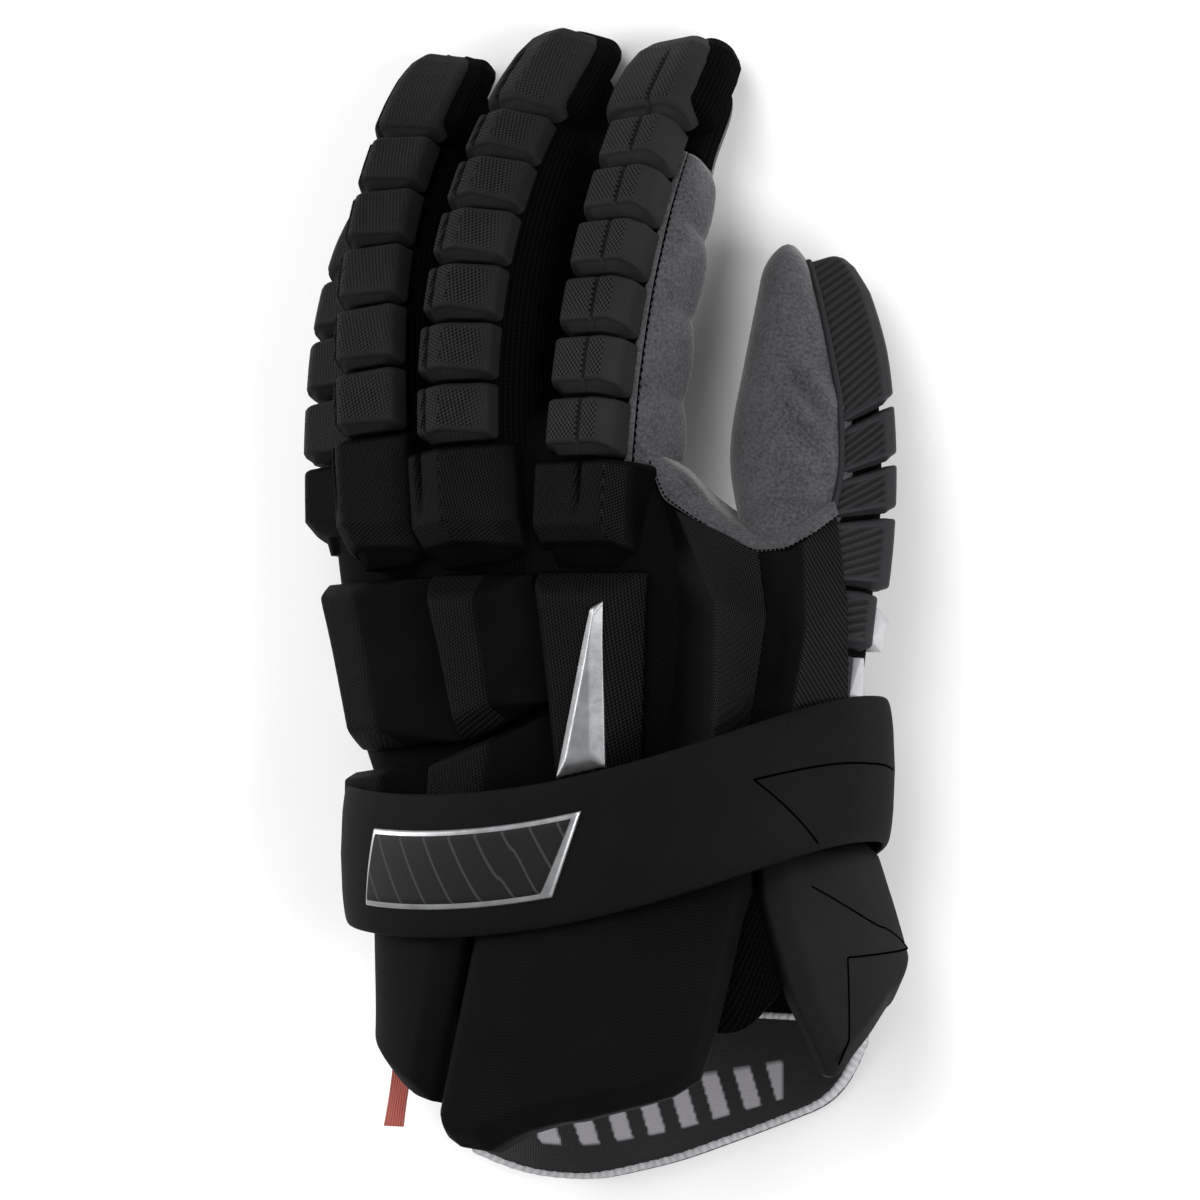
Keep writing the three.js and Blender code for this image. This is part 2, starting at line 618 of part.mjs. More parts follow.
function addBackOfHand() {
  for (const [name, outline] of Object.entries(BACK_BLOCKS)) {
    const block = skinLayer(outline, BLOCK_TAPER, BACK_FOOT, GAP, BACK_BLOCK_HEIGHT);
    addPiece(name, block.subtract(clearOfStrap), fabric);
  }
  const guardSpace = thumbGuardSpace();
  for (const [name, outline] of Object.entries(SADDLE_PADS)) {
    const pad = skinLayer(outline, SADDLE_TAPER, SADDLE_FOOT, GAP, SADDLE_HEIGHT);
    addPiece(name, pad.subtract(guardSpace).subtract(clearOfStrap), fabric);
  }
  const badgeFrom = BACK_BLOCK_HEIGHT + GAP;
  const badge = skinLayer(BADGE_OUTLINE, 1, BACK_FOOT, badgeFrom, badgeFrom + BADGE_THICKNESS);
  addPiece('badge_plate', badge, silver);
}

// The space that the guard blocks of the thumb fill
function thumbGuardSpace() {
  const crest = CRESTS.thumb;
  const half = (crest.digit.pad * HAND_WIDTH) / 2 + PAD_SPACE;
  const rings = [];
  for (let i = 0; i <= SPACE_STEPS; i++) {
    const frame = crest.frameAt((i / SPACE_STEPS) * THUMB_TIP_FROM);
    rings.push([[-half, PAD_SPACE], [-half, -THUMB_PAD_HEIGHT - GAP], [half, -THUMB_PAD_HEIGHT - GAP],
      [half, PAD_SPACE]].map(([b, n]) => place(frame, b, n)));
  }
  return loft(rings);
}

function strapLoop(grow) {
  const top = STRAP_SEAT * KNUCKLE_HEIGHT + CUFF_PLATE_THICKNESS + 2 * GAP + STRAP_THICKNESS;
  const middleX = STRAP_MIDDLE * HAND_WIDTH;
  const lowestX = STRAP_LOWEST * HAND_WIDTH;
  const halfWidth = STRAP_WIDTH / 2 + grow;
  const inset = STRAP_THICKNESS + grow;
  const rings = [];
  for (let i = 0; i < STRAP_STEPS; i++) {
    const angle = (i / STRAP_STEPS) * 2 * Math.PI;
    const at = (shrink, sideways) => {
      const x = middleX + (STRAP_HALF * HAND_WIDTH - shrink) * rounded(Math.cos(angle));
      const z = top / 2 + (top / 2 - shrink) * rounded(Math.sin(angle));
      const climb = STRAP_CLIMB * ((x - lowestX) / HAND_WIDTH) ** 2;
      return new THREE.Vector3(x, (STRAP_AT + climb) * GLOVE_LENGTH + sideways, z);
    };
    rings.push([
      at(-grow + STRAP_BEVEL, -halfWidth),
      at(-grow, -halfWidth + STRAP_BEVEL),
      at(-grow, halfWidth - STRAP_BEVEL),
      at(-grow + STRAP_BEVEL, halfWidth),
      at(inset - STRAP_BEVEL, halfWidth),
      at(inset, halfWidth - STRAP_BEVEL),
      at(inset, -halfWidth + STRAP_BEVEL),
      at(inset - STRAP_BEVEL, -halfWidth),
    ]);
  }
  return loopLoft(rings);
}

function addCuff() {
  const behindSleeve = spaceBehind(SLEEVE_END * GLOVE_LENGTH);
  const sleeve = cuffSolid(0, -GAP).subtract(cuffSolid(-WALL, BEYOND)).subtract(behindSleeve);
  addPiece('wrist_sleeve', sleeve, mesh);
  addPiece('wrist_strap', strapLoop(0), strapCloth);
  const layer = cuffSolid(GAP + CUFF_PLATE_THICKNESS, 0).subtract(cuffSolid(GAP, BEYOND));
  for (const [name, { low, outline }] of Object.entries(CUFF_PLATES)) {
    const column = prism(outline, 1, low * KNUCKLE_HEIGHT, KNUCKLE_HEIGHT * LAYER_TOP);
    addPiece(name, layer.intersect(column).subtract(clearOfStrap), fabric);
  }
}

// The palm cuff panel and the binding along its free edge
function addPalmCuff() {
  const edge = BINDING_WIDTH / GLOVE_LENGTH;
  const space = GAP / GLOVE_LENGTH;
  const section = (row, start, end) => {
    const low = row.lift * KNUCKLE_HEIGHT;
    const corners = [[start, low], [end, low], [end, low + PANEL_THICKNESS], [start, low + PANEL_THICKNESS]];
    return corners.map(([y, z]) => new THREE.Vector3(row.at * HAND_WIDTH, y * GLOVE_LENGTH, z));
  };
  const panel = PANEL_SECTIONS.map((row) => section(row, row.start, row.end + edge + space));
  const binding = PANEL_SECTIONS.map((row) => section(row, row.end + edge, row.end));
  addPiece('palm_cuff_panel', loft(panel), fabric);
  addPiece('cuff_binding', loft(binding), silver);
}

// A sewn-in tab hanging from the edge of the left cuff plate
function addSizeTab() {
  const row = CUFF_SECTIONS.at(-1);
  const height = (row.high - row.low) * KNUCKLE_HEIGHT;
  const share = Math.abs((TAB_AT.x - row.middle) / row.half);
  const rise = (1 - share ** ROUNDNESS) ** (1 / ROUNDNESS);
  const middleZ = row.low * KNUCKLE_HEIGHT + (height / 2) * (1 + rise);
  const tab = new THREE.BoxGeometry(TAB_WIDTH, TAB_LENGTH, TAB_THICKNESS);
  tab.translate(TAB_AT.x * HAND_WIDTH, TAB_AT.y * GLOVE_LENGTH - GAP - TAB_LENGTH / 2, middleZ);
  addPiece('size_tab', boxSolid(tab), redTab);
}

addShell();
addFingerPads();
addThumbGuard();
addBackOfHand();
addCuff();
addPalmCuff();
addSizeTab();

export default glove;
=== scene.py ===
"""Looks of a padded left-hand lacrosse glove lying palm down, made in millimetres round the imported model."""
import math

import bmesh
import bpy
import numpy as np
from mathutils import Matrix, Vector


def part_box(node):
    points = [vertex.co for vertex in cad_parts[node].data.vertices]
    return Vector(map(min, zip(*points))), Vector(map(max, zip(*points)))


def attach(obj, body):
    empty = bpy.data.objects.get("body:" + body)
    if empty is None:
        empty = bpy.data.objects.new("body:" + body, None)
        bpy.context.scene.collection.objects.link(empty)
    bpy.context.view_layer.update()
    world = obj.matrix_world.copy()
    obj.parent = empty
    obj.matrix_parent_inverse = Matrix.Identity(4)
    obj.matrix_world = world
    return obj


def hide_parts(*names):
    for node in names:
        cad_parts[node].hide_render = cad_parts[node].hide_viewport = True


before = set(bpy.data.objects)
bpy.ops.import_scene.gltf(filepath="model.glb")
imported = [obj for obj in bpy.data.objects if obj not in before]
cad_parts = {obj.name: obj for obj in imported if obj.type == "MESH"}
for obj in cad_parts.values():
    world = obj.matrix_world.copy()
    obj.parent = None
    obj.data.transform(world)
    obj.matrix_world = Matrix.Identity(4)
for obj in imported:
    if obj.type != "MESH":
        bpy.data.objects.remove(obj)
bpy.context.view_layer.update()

bl_info = {
    "name": "Lacrosse Glove",
    "version": (1, 0, 0),
    "blender": (4, 5, 0),
    "location": "View3D > Sidebar > Glove",
    "description": "Builds the paddings, cloth, strap and cuff of a lacrosse glove",
    "category": "Add Mesh",
}


def keyed(keys, rows):
    """Each row of a table as a dictionary with the given keys."""
    return {name: dict(zip(keys, row)) for name, row in rows.items()}


# Sizes of the construction, in millimetres. +Y points to the fingertips, +X to the thumb and +Z up.
LENGTH = 318.0
WIDTH = 120.0
HEIGHT = 80.0
MIDDLE_SHIFT = -0.1875 * WIDTH
GAP = 0.3
WALL = 2.2
FINGER_PAD = 11.0
THUMB_PAD = 12.0
KNUCKLE_DEPTH = 18.0
BLOCK_HEIGHT = 12.0
PLATE_HEIGHT = 8.0
PAD_SPACE = 1.4
PATH_STEPS = 80
HAND_ROUNDNESS = 2.5
STALL_ROUNDNESS = 3.0
STRAP_ROUNDNESS = 2.5
KNIT_WALL = 1.4
SUEDE_WALL = 1.6
# One millimetre in metres
MM = 0.001

# Digits: where the crest over the knuckle starts, its length, widths, depth and roll, as in the construction
DIGITS = keyed(("x", "y", "z", "length", "pad", "stall", "depth", "roll"), {
    "index": (0.298, 0.0925, 0.975, 0.462, 0.26, 0.208, 0.3, 5),
    "middle": (-0.017, 0.102, 1.0125, 0.476, 0.24, 0.205, 0.3, 11),
    "ring": (-0.283, 0.1035, 0.9375, 0.444, 0.213, 0.19, 0.29, 16),
    "pinky": (-0.487, 0.085, 0.7, 0.321, 0.2, 0.175, 0.27, 28),
    "thumb": (0.883, -0.132, 0.7, 0.462, 0.225, 0.205, 0.36, -75),
})

# How each crest bends: share of its length, dip and turn in degrees
BENDS = {
    "index": [(0, 5, 0), (0.24, 14, 0), (0.47, 24, 0), (0.7, 35, -1), (1, 50, -2)],
    "middle": [(0, 4, -7), (0.25, 13, -3), (0.48, 27, -1), (0.69, 39, 1), (1, 50, 6)],
    "ring": [(0, 4, -7), (0.27, 15, -9), (0.54, 29, -6), (0.84, 38, 2), (1, 45, 8)],
    "pinky": [(0, 3, -3), (0.37, 17, -6), (0.78, 34, 0), (1, 45, 3)],
    "thumb": [(0, 5, 3), (0.33, 9.5, 3), (0.51, 12, -6), (0.7, 16, -16), (1, 20, -38)],
}

# Paddings along each finger: where they start, where the tip pad starts, how many, the knuckle block's
# ends and width, how many mm the covers of the pads, the tip and the block stand back from their left
# and right side, how slack the knit is on both sides and how far its cap shows beside the tip pad
PADS = keyed((
    "first", "tip", "count", "back", "front", "block", "pad_in", "tip_in", "block_in", "slack", "cap",
), {
    "index": (0.064, 0.757, 6, -0.135, 0.056, 0.305, (4.2, 5.6), (-0.3, 3.2), (3.0, 3.2), (6.0, 0), 3.4),
    "middle": (0.068, 0.752, 6, -0.15, 0.06, 0.275, (3.4, 3.0), (3.4, 1.0), (0.5, 0), (0, 6.0), 4.0),
    "ring": (0.09, 0.755, 5, -0.17, 0.082, 0.222, (2.4, 1.6), (1.2, 0.5), (0, 0), (0, 0), 4.5),
    "pinky": (0.11, 0.667, 3, -0.14, 0.1, 0.21, (0, 0), (0, 0), (0, 0), (0, 0), 0),
})

# Faces of a pad as shares of its width and height, with the groove along it and the ridge where the
# weave turns
PAD_FACES = keyed(("groove", "ridge", "outline"), {
    "index": (0.57, 0.84, [(0, 0), (0, 0.6), (0.1, 0.97), (0.84, 1), (1, 0.6), (1, 0)]),
    "middle": (0.2, 0.46, [(0, 0), (0, 0.55), (0.06, 0.9), (0.46, 1), (1, 0.42), (1, 0)]),
    "ring": (0.17, 0.3, [(0, 0), (0, 0.5), (0.1, 0.88), (0.3, 1), (1, 0.52), (1, 0)]),
    "pinky": (0.12, 0.3, [(0, 0), (0, 0.45), (0.1, 0.86), (0.3, 1), (1, 0.6), (1, 0)]),
})
THUMB_OUTLINE = [(0, 0), (0, 0.25), (0.6, 1), (0.84, 0.96), (1, 0.72), (1, 0)]

# Guard blocks of the thumb: name, start, end, inner and outer side as shares of the pad width, and how
# much their lower and upper end climb for each mm across
THUMB_BLOCKS = [
    ("thumb_guard_1", 0.075, 0.2, -0.25, 0.06, 0.0, -0.1),
    ("thumb_guard_2", 0.205, 0.315, -0.25, 0.34, -0.1, 0.0),
    ("thumb_guard_3", 0.315, 0.45, -0.25, 0.5, 0.0, 0.25),
    ("thumb_guard_4", 0.45, 0.54, -0.25, 0.5, 0.25, 0.45),
    ("thumb_guard_5", 0.54, 0.645, -0.25, 0.5, 0.45, 0.62),
]
THUMB_TIP_FROM = 0.645

# Suede of the thumb in the photograph's axes, from its tip to its root: mm up the picture, left and
# right side, middle toward the viewer and half the depth
THUMB_SUEDE = [
    (95.6, 46.5, 54.5, 8.5, 11.0), (89.9, 43.9, 56.2, 9.5, 12.0), (81.5, 42.2, 59.0, 12.5, 14.5),
    (67.8, 39.4, 65.3, 18.0, 17.0), (54.0, 36.6, 67.5, 25.0, 17.5), (45.1, 34.6, 69.1, 27.0, 18.0),
    (35.1, 34.2, 69.7, 29.5, 18.5), (28.6, 34.8, 69.1, 31.5, 18.0), (24.0, 36.5, 67.5, 31.5, 17.5),
    (10.8, 38.3, 66.4, 33.0, 16.0), (-10.8, 41.0, 64.3, 35.0, 13.0), (-37.8, 42.1, 62.1, 37.0, 11.0),
]
# The seam between it and the guard, in the same axes
THUMB_SEAM = [
    (55.6, 91.0, 14.0), (56.6, 88.0, 17.0), (58.2, 81.0, 23.6), (60.6, 67.8, 32.4), (61.9, 59.7, 36.8),
    (62.9, 54.0, 38.8), (63.4, 45.1, 41.4), (63.3, 35.1, 44.2), (62.3, 28.6, 46.2), (60.4, 22.0, 47.4),
]
# Its creases: both ends as mm to the right and up the picture, half the width and the depth in mm
THUMB_CREASES = [
    ((47.0, 62.0), (60.0, 46.5), 1.8, 2.6), ((37.5, 41.5), (53.0, 29.5), 1.8, 1.6),
    ((46.0, 51.0), (58.5, 36.0), 1.5, 1.2), ((36.5, 22.5), (59.0, 26.0), 1.1, 2.0),
]

# White plates of the thumb: four corners as share of the length and mm across the crest
WHITE_PLATES = {
    "thumb_plate_1": [(0.19, 4.8), (0.19, 5.8), (0.05, 9.4), (0.05, -1.5)],
    "thumb_plate_2": [(0.285, 8.5), (0.265, 14.0), (0.205, 12.4), (0.225, 6.6)],
}

# How deep and wide a stall is along it
STALL_DEPTH = [
    (-0.2, 1.1), (0, 1.14), (0.16, 1.12), (0.32, 1.06), (0.48, 1), (0.64, 0.93), (0.8, 0.85), (1, 0.78),
]
STALL_SIZE = [(-0.2, 0.75), (0, 1), (0.8, 1), (1, 0.98)]

# Puffs of the fingers' suede: where a cross seam lies and the seams' pitch, as shares of the length, and
# the puffs' height in mm
PUFF_FROM = 0.21
PUFF_PITCH = 0.185
PUFF_HEIGHT = 2.4

# Sections of the hand and the cuff: share of the length, middle, half width, low, high and roll
HAND_SECTIONS = [
    (0.145, -0.05, 0.417, 0.4625, 0.7875, 13),
    (0.1, -0.033, 0.483, 0.275, 0.85, 10),
    (0.0315, 0.05, 0.55, 0.225, 0.85, 8),
    (-0.038, 0.142, 0.608, 0.2, 0.85, 5),
    (-0.11, 0.2, 0.617, 0.1875, 0.8625, 2),
    (-0.195, 0.242, 0.55, 0.1875, 0.8875, 0),
]
SEAT_LOW = 5.3 / HEIGHT
SLEEVE_FROM = -0.18
CUFF_SECTIONS = [
    (-0.195, 0.242, 0.55, 0.1875, 0.8875, 0),
    (-0.267, 0.3, 0.55, 0.106, 0.994, 0),
    (-0.352, 0.342, 0.575, SEAT_LOW, 1.051, 0),
    (-0.455, 0.37, 0.605, SEAT_LOW, 1.09, 0),
]

# Blocks on the back of the hand: corners in shares of width and length, front left, front right, back
# right and back left, then for each side (left, right, front, back) the wall's share of the height and
# the slope's width in mm
BACK_BLOCKS = {
    "index_back_block": ([(0.19, 0.024), (0.45, 0.024), (0.44, -0.16), (0.26, -0.16)],
                         [(0.6, 3), (0.25, 9), (0.2, 6), (0.6, 3)]),
    "middle_back_block": ([(-0.085, 0.022), (0.175, 0.022), (0.23, -0.083), (0.02, -0.12)],
                          [(0.55, 3), (0.2, 15), (0.3, 7), (0.3, 5)]),
    "ring_back_block": ([(-0.42, 0.014), (-0.1, 0.02), (0.003, -0.12), (-0.3, -0.13)],
                        [(0.3, 9), (0.2, 19), (0.4, 4), (0.3, 5)]),
    "lower_back_block_1": ([(-0.31, -0.148), (-0.065, -0.136), (-0.065, -0.19), (-0.31, -0.19)],
                           [(0.4, 8), (0.3, 10), (0.5, 2.5), (0.6, 2)]),
    "lower_back_block_2": ([(-0.045, -0.134), (0.235, -0.092), (0.245, -0.19), (-0.045, -0.19)],
                           [(0.5, 3), (0.2, 16), (0.4, 3), (0.6, 2)]),
}

# Corners and sides of the silver plate, in the same shares and order
BADGE_PLATE = [(0.335, -0.006), (0.36, 0.0), (0.38, -0.138), (0.275, -0.148)]
BADGE_SIDES = [(0.35, 2.6), (0.35, 4.0), (0.35, 3.0), (0.35, 4.0)]

# Cuff plates as corner lines in degrees round the cuff and shares of the length: left, right, front and
# back side
CUFF_PLATES = {
    "cuff_plate_centre": {
        "left": [(105, -0.2), (108, -0.281), (115, -0.365), (119, -0.421), (117, -0.447)],
        "right": [(43, -0.2), (44, -0.24), (47, -0.255), (59, -0.346), (65, -0.39)],
        "back": [(117, -0.447), (112, -0.456), (105, -0.458), (97, -0.44), (85, -0.421),
                 (72, -0.405), (65, -0.39)],
    },
    "cuff_plate_left": {
        "left": [(189, -0.21), (189, -0.37)],
        "right": [(107.5, -0.2), (110.5, -0.281), (117.5, -0.365), (121.5, -0.421)],
        "back": [(189, -0.37), (165, -0.385), (147, -0.398), (129, -0.417), (121.5, -0.421)],
    },
    "cuff_plate_right": {
        "left": [(41, -0.2), (41.5, -0.243), (37.5, -0.327), (30, -0.386)],
        "right": [(-20, -0.2), (-20, -0.305)],
        "back": [(30, -0.386), (27, -0.388), (18, -0.368), (0, -0.335), (-20, -0.305)],
    },
}

# Seams sewn into the right plate, in the same coordinates, and into the strap, in degrees round it and
# mm across it
PLATE_SEAM = [(27, -0.233), (-15, -0.289), (18, -0.291), (24, -0.357), (29, -0.377)]
STRAP_SEAM = [(-14, -1.0), (43, 4.2), (22, -17.5)]
STRAP_PANEL = [(127, 9.5), (82, 9.5), (87, -11.5), (131, -11.5)]

# Palm side of the cuff: x share, front, back and height shares
PANEL_SECTIONS = [
    (-0.25, -0.35, -0.482, 0.21), (-0.17, -0.345, -0.502, 0.1), (-0.04, -0.342, -0.508, 0.025),
    (0.02, -0.34, -0.506, 0.01), (0.218, -0.34, -0.487, 0), (0.42, -0.34, -0.459, 0),
    (0.62, -0.34, -0.43, 0.026), (0.66, -0.34, -0.417, 0.04), (0.71, -0.34, -0.392, 0.08),
    (0.74, -0.34, -0.374, 0.12),
]
PANEL_THICKNESS = 5.0
# Bars on its lining: their pitch in mm and how far they slant for each mm along
BAR_PITCH = 11.0
BAR_SLANT = 0.35

# Wrist strap: middle and half width of its loop, where it sits and how it climbs to the thumb
STRAP = {"middle": 0.258, "half": 0.652, "at": -0.222, "climb": 0.088, "lowest": -0.083, "seat": 0.994}
STRAP_WIDTH = 38.0
STRAP_THICKNESS = 4.0

# The photograph's view: distance, tilt to the thumb side, the width that it takes in and what it looks at
VIEW_DISTANCE = 1.5
VIEW_TILT = 30.0
VIEW_WIDTH = 0.324
VIEW_TARGET = (0.0005, 0.0, 0.04)
SENSOR_WIDTH = 36.0


def linear(code):
    """The linear colour of an sRGB hex value: divided by 12.92 where dark, else the 2.4 power curve."""
    parts = [int(code[i:i + 2], 16) / 255 for i in (1, 3, 5)]
    return tuple(c / 12.92 if c <= 0.04045 else ((c + 0.055) / 1.055) ** 2.4 for c in parts)


def smooth_step(value, low, high):
    """0 below low, 1 above high, and the cubic 3t2 - 2t3 between them."""
    t = np.clip((np.asarray(value, float) - low) / (high - low), 0, 1)
    return t * t * (3 - 2 * t)


def window(value, rise_from, rise_to, fall_from, fall_to):
    """Rises from 0 to 1 between the first two limits and falls back to 0 between the last two."""
    return smooth_step(value, rise_from, rise_to) * (1 - smooth_step(value, fall_from, fall_to))


def rounded(value, exponent):
    """Sign of the value times its size to the power 2 / exponent, which squares off a cosine or sine."""
    return np.sign(value) * np.abs(value) ** (2 / exponent)


def running_length(line):
    """Length along a line at each of its points."""
    return np.concatenate([[0], np.cumsum(np.linalg.norm(np.diff(line, axis=0), axis=1))])


def columns_at(marks, at, table):
    """Every column of a table whose rows stand at the given places, read off at the marks."""
    return np.stack([np.interp(marks, at, column) for column in table.T], -1)


def moving_mean(values, reach):
    """The mean over so many values on both sides of each one. The line goes on beyond its ends, turned
    half round them."""
    wide = np.pad(values, reach, mode="reflect", reflect_type="odd")
    return np.convolve(wide, np.ones(2 * reach + 1) / (2 * reach + 1), "valid")


class Crest:
    """The line that a digit's paddings follow. Its direction is the dip and turn at each share of its
    length, summed over small steps; T points along it, N out of the digit's back and B across it."""

    def __init__(self, name):
        self.digit = DIGITS[name]
        self.length = self.digit["length"] * LENGTH
        self.rows = np.array(BENDS[name], float)
        self.marks = np.linspace(0, 1, PATH_STEPS + 1)
        steps = self.directions((self.marks[:-1] + self.marks[1:]) / 2)[0] * self.length / PATH_STEPS
        start = [self.digit["x"] * WIDTH + MIDDLE_SHIFT, self.digit["y"] * LENGTH, self.digit["z"] * HEIGHT]
        self.points = np.vstack([start, start + np.cumsum(steps, axis=0)])

    def directions(self, at):
        """T and the unrolled N and B at shares of the length."""
        tilt = np.radians(np.interp(at, self.rows[:, 0], self.rows[:, 1]))
        turn = np.radians(np.interp(at, self.rows[:, 0], self.rows[:, 2]))
        along = np.stack([np.sin(turn) * np.cos(tilt), np.cos(turn) * np.cos(tilt), -np.sin(tilt)], -1)
        across = np.stack([np.cos(turn), -np.sin(turn), np.zeros_like(turn)], -1)
        return along, np.cross(across, along), across

    def frame(self, at):
        """Point, T, N and B at shares of the length, straight on beyond its ends."""
        at = np.asarray(at, float)
        along, flat_n, flat_b = self.directions(at)
        inside = np.clip(at, 0, 1)
        point = columns_at(inside, self.marks, self.points)
        point = point + along * ((at - inside) * self.length)[..., None]
        roll = math.radians(self.digit["roll"])
        normal = flat_n * math.cos(roll) - flat_b * math.sin(roll)
        across = flat_b * math.cos(roll) + flat_n * math.sin(roll)
        return point, along, normal, across

    def place(self, at, across, up):
        """The point at a share of the length, so far across it and so far out of its back."""
        at, across, up = np.broadcast_arrays(np.asarray(at, float), across, up)
        point, _, normal, side = self.frame(at)
        return point + side * across[..., None] + normal * up[..., None]


CRESTS = {name: Crest(name) for name in DIGITS}


# Meshes

def grid_faces(rows, cols, around, looped):
    """Corner numbers of a grid's quads, and the same corners before wrapping, for the pattern's
    coordinates."""
    r = np.arange(rows if looped else rows - 1)[:, None]
    c = np.arange(cols if around else cols - 1)[None, :]
    corners = [(r, c), (r, c + 1), (r + 1, c + 1), (r + 1, c)]
    wrapped = np.stack([(a % rows) * cols + (b % cols) + 0 * (r + c) for a, b in corners], -1).reshape(-1, 4)
    plain = np.stack([a * (cols + 1) + b + 0 * (r + c) for a, b in corners], -1).reshape(-1, 4)
    return wrapped, plain


def lengths_along(points, axis, close):
    """Running length over a grid of points along one axis, with one more step where it closes."""
    if close:
        points = np.concatenate([points, np.take(points, [0], axis)], axis)
    steps = np.linalg.norm(np.diff(points, axis=axis), axis=-1)
    zero = np.zeros_like(np.take(steps, [0], axis))
    return np.concatenate([zero, np.cumsum(steps, axis)], axis)


def mesh_object(name, points, faces, pattern, grain_and_shade, material):
    """An object from points in millimetres, with pattern coordinates in millimetres and a mask that
    picks the weave or print and carries painted shade.
    """
    mesh = bpy.data.meshes.new(name)
    mesh.from_pydata((points * MM).tolist(), [], faces.tolist())
    layer = mesh.uv_layers.new(name="pattern")
    layer.data.foreach_set("uv", pattern.reshape(-1).astype(np.float32))
    attribute = mesh.attributes.new("grain_and_shade", "FLOAT", "POINT")
    attribute.data.foreach_set("value", np.broadcast_to(grain_and_shade, len(points)).astype(np.float32))
    mesh.polygons.foreach_set("use_smooth", np.ones(len(faces), bool))
    welded = bmesh.new()
    welded.from_mesh(mesh)
    bmesh.ops.remove_doubles(welded, verts=welded.verts, dist=1e-6)
    bmesh.ops.recalc_face_normals(welded, faces=welded.faces)
    welded.to_mesh(mesh)
    welded.free()
    mesh.materials.append(material)
    made = bpy.data.objects.new(name, mesh)
    bpy.context.scene.collection.objects.link(made)
    return made


def grid_object(name, points, material, around=False, looped=False, grain_and_shade=1.0, pattern=None):
    """A surface from a grid of points, closed round its columns or its rows where asked."""
    rows, cols = points.shape[:2]
    wrapped, plain = grid_faces(rows, cols, around, looped)
    if pattern is None:
        u = np.mean(lengths_along(points, 1, True), axis=0)
        v = np.mean(lengths_along(points, 0, True), axis=1)
        pattern = np.stack(np.meshgrid(u, v), -1)
    flat = pattern.reshape(-1, 2)
    mask = np.broadcast_to(grain_and_shade, (rows, cols)).reshape(-1)
    return mesh_object(name, points.reshape(-1, 3), wrapped, flat[plain], mask, material)


def closed_patch(name, top, bottom, material, grain_and_shade=1.0, pattern=None):
    """A closed slab between two grids of points whose rims are joined by walls."""
    rows, cols = top.shape[:2]
    wrapped, _ = grid_faces(rows, cols, False, False)
    index = np.arange(rows * cols).reshape(rows, cols)
    rim = np.concatenate([index[0, :-1], index[:-1, -1], index[-1, :0:-1], index[:0:-1, 0]])
    following = np.roll(rim, -1)
    offset = rows * cols
    walls = np.stack([rim, following, following + offset, rim + offset], -1)
    faces = np.concatenate([wrapped, wrapped[:, ::-1] + offset, walls])
    points = np.concatenate([top.reshape(-1, 3), bottom.reshape(-1, 3)])
    if pattern is None:
        u = lengths_along(top, 1, False)
        v = lengths_along(top, 0, False)
        pattern = np.stack([u, v], -1)
    flat = np.concatenate([pattern.reshape(-1, 2)] * 2)
    mask = np.concatenate([np.broadcast_to(grain_and_shade, (rows, cols)).reshape(-1)] * 2)
    return mesh_object(name, points, faces, flat[faces], mask, material)


def finish_piece(made, replaces=()):
    """The piece rides on the glove's one body and stands for its CAD nodes, which are hidden."""
    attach(made, "root")
    if replaces:
        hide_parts(*replaces)
    return made


def thicken(made, thickness):
    """A wall of that many millimetres, grown inwards."""
    wall = made.modifiers.new("wall", "SOLIDIFY")
    wall.thickness = thickness * MM
    wall.offset = -1
    return made


def rounded_outline(corners, radius, scale, steps=5):
    """An open outline in millimetres whose corners are parabola arcs that start a radius away from each
    corner."""
    points = np.array(corners, float) * scale
    before = points[:-2] - points[1:-1]
    after = points[2:] - points[1:-1]
    reach_before = np.minimum(radius, np.linalg.norm(before, axis=1) / 2)[:, None]
    reach_after = np.minimum(radius, np.linalg.norm(after, axis=1) / 2)[:, None]
    first = points[1:-1] + before / np.linalg.norm(before, axis=1)[:, None] * reach_before
    last = points[1:-1] + after / np.linalg.norm(after, axis=1)[:, None] * reach_after
    t = np.linspace(0, 1, steps)[None, :, None]
    arcs = (1 - t) ** 2 * first[:, None] + 2 * t * (1 - t) * points[1:-1, None] + t ** 2 * last[:, None]
    return np.concatenate([points[:1], arcs.reshape(-1, 2), points[-1:]])


def resampled(line, count):
    """The line as evenly spaced points."""
    run = running_length(line)
    return columns_at(np.linspace(0, run[-1], count), run, line)


def end_rows(length, radius, count):
    """Distances from the start and insets of the rows of a padded block: closing rings at both ends, a
    rounded edge whose inset falls as a quarter circle, and even rows between."""
    turn = np.linspace(0, math.pi / 2, 6)
    edge = radius * (1 - np.cos(turn))
    inset = radius * (1 - np.sin(turn))
    middle = np.linspace(radius, length - radius, count)[1:-1]
    along = np.concatenate([[0, 0, 0], edge, middle, length - edge[::-1], [length] * 3])
    insets = np.concatenate([inset, np.zeros(len(middle)), inset[::-1]])
    closing = np.array([0.0, 0.4, 0.8])
    factor = np.concatenate([closing, np.ones(len(insets)), closing[::-1]])
    return along, np.concatenate([[radius] * 3, insets, [radius] * 3]), factor


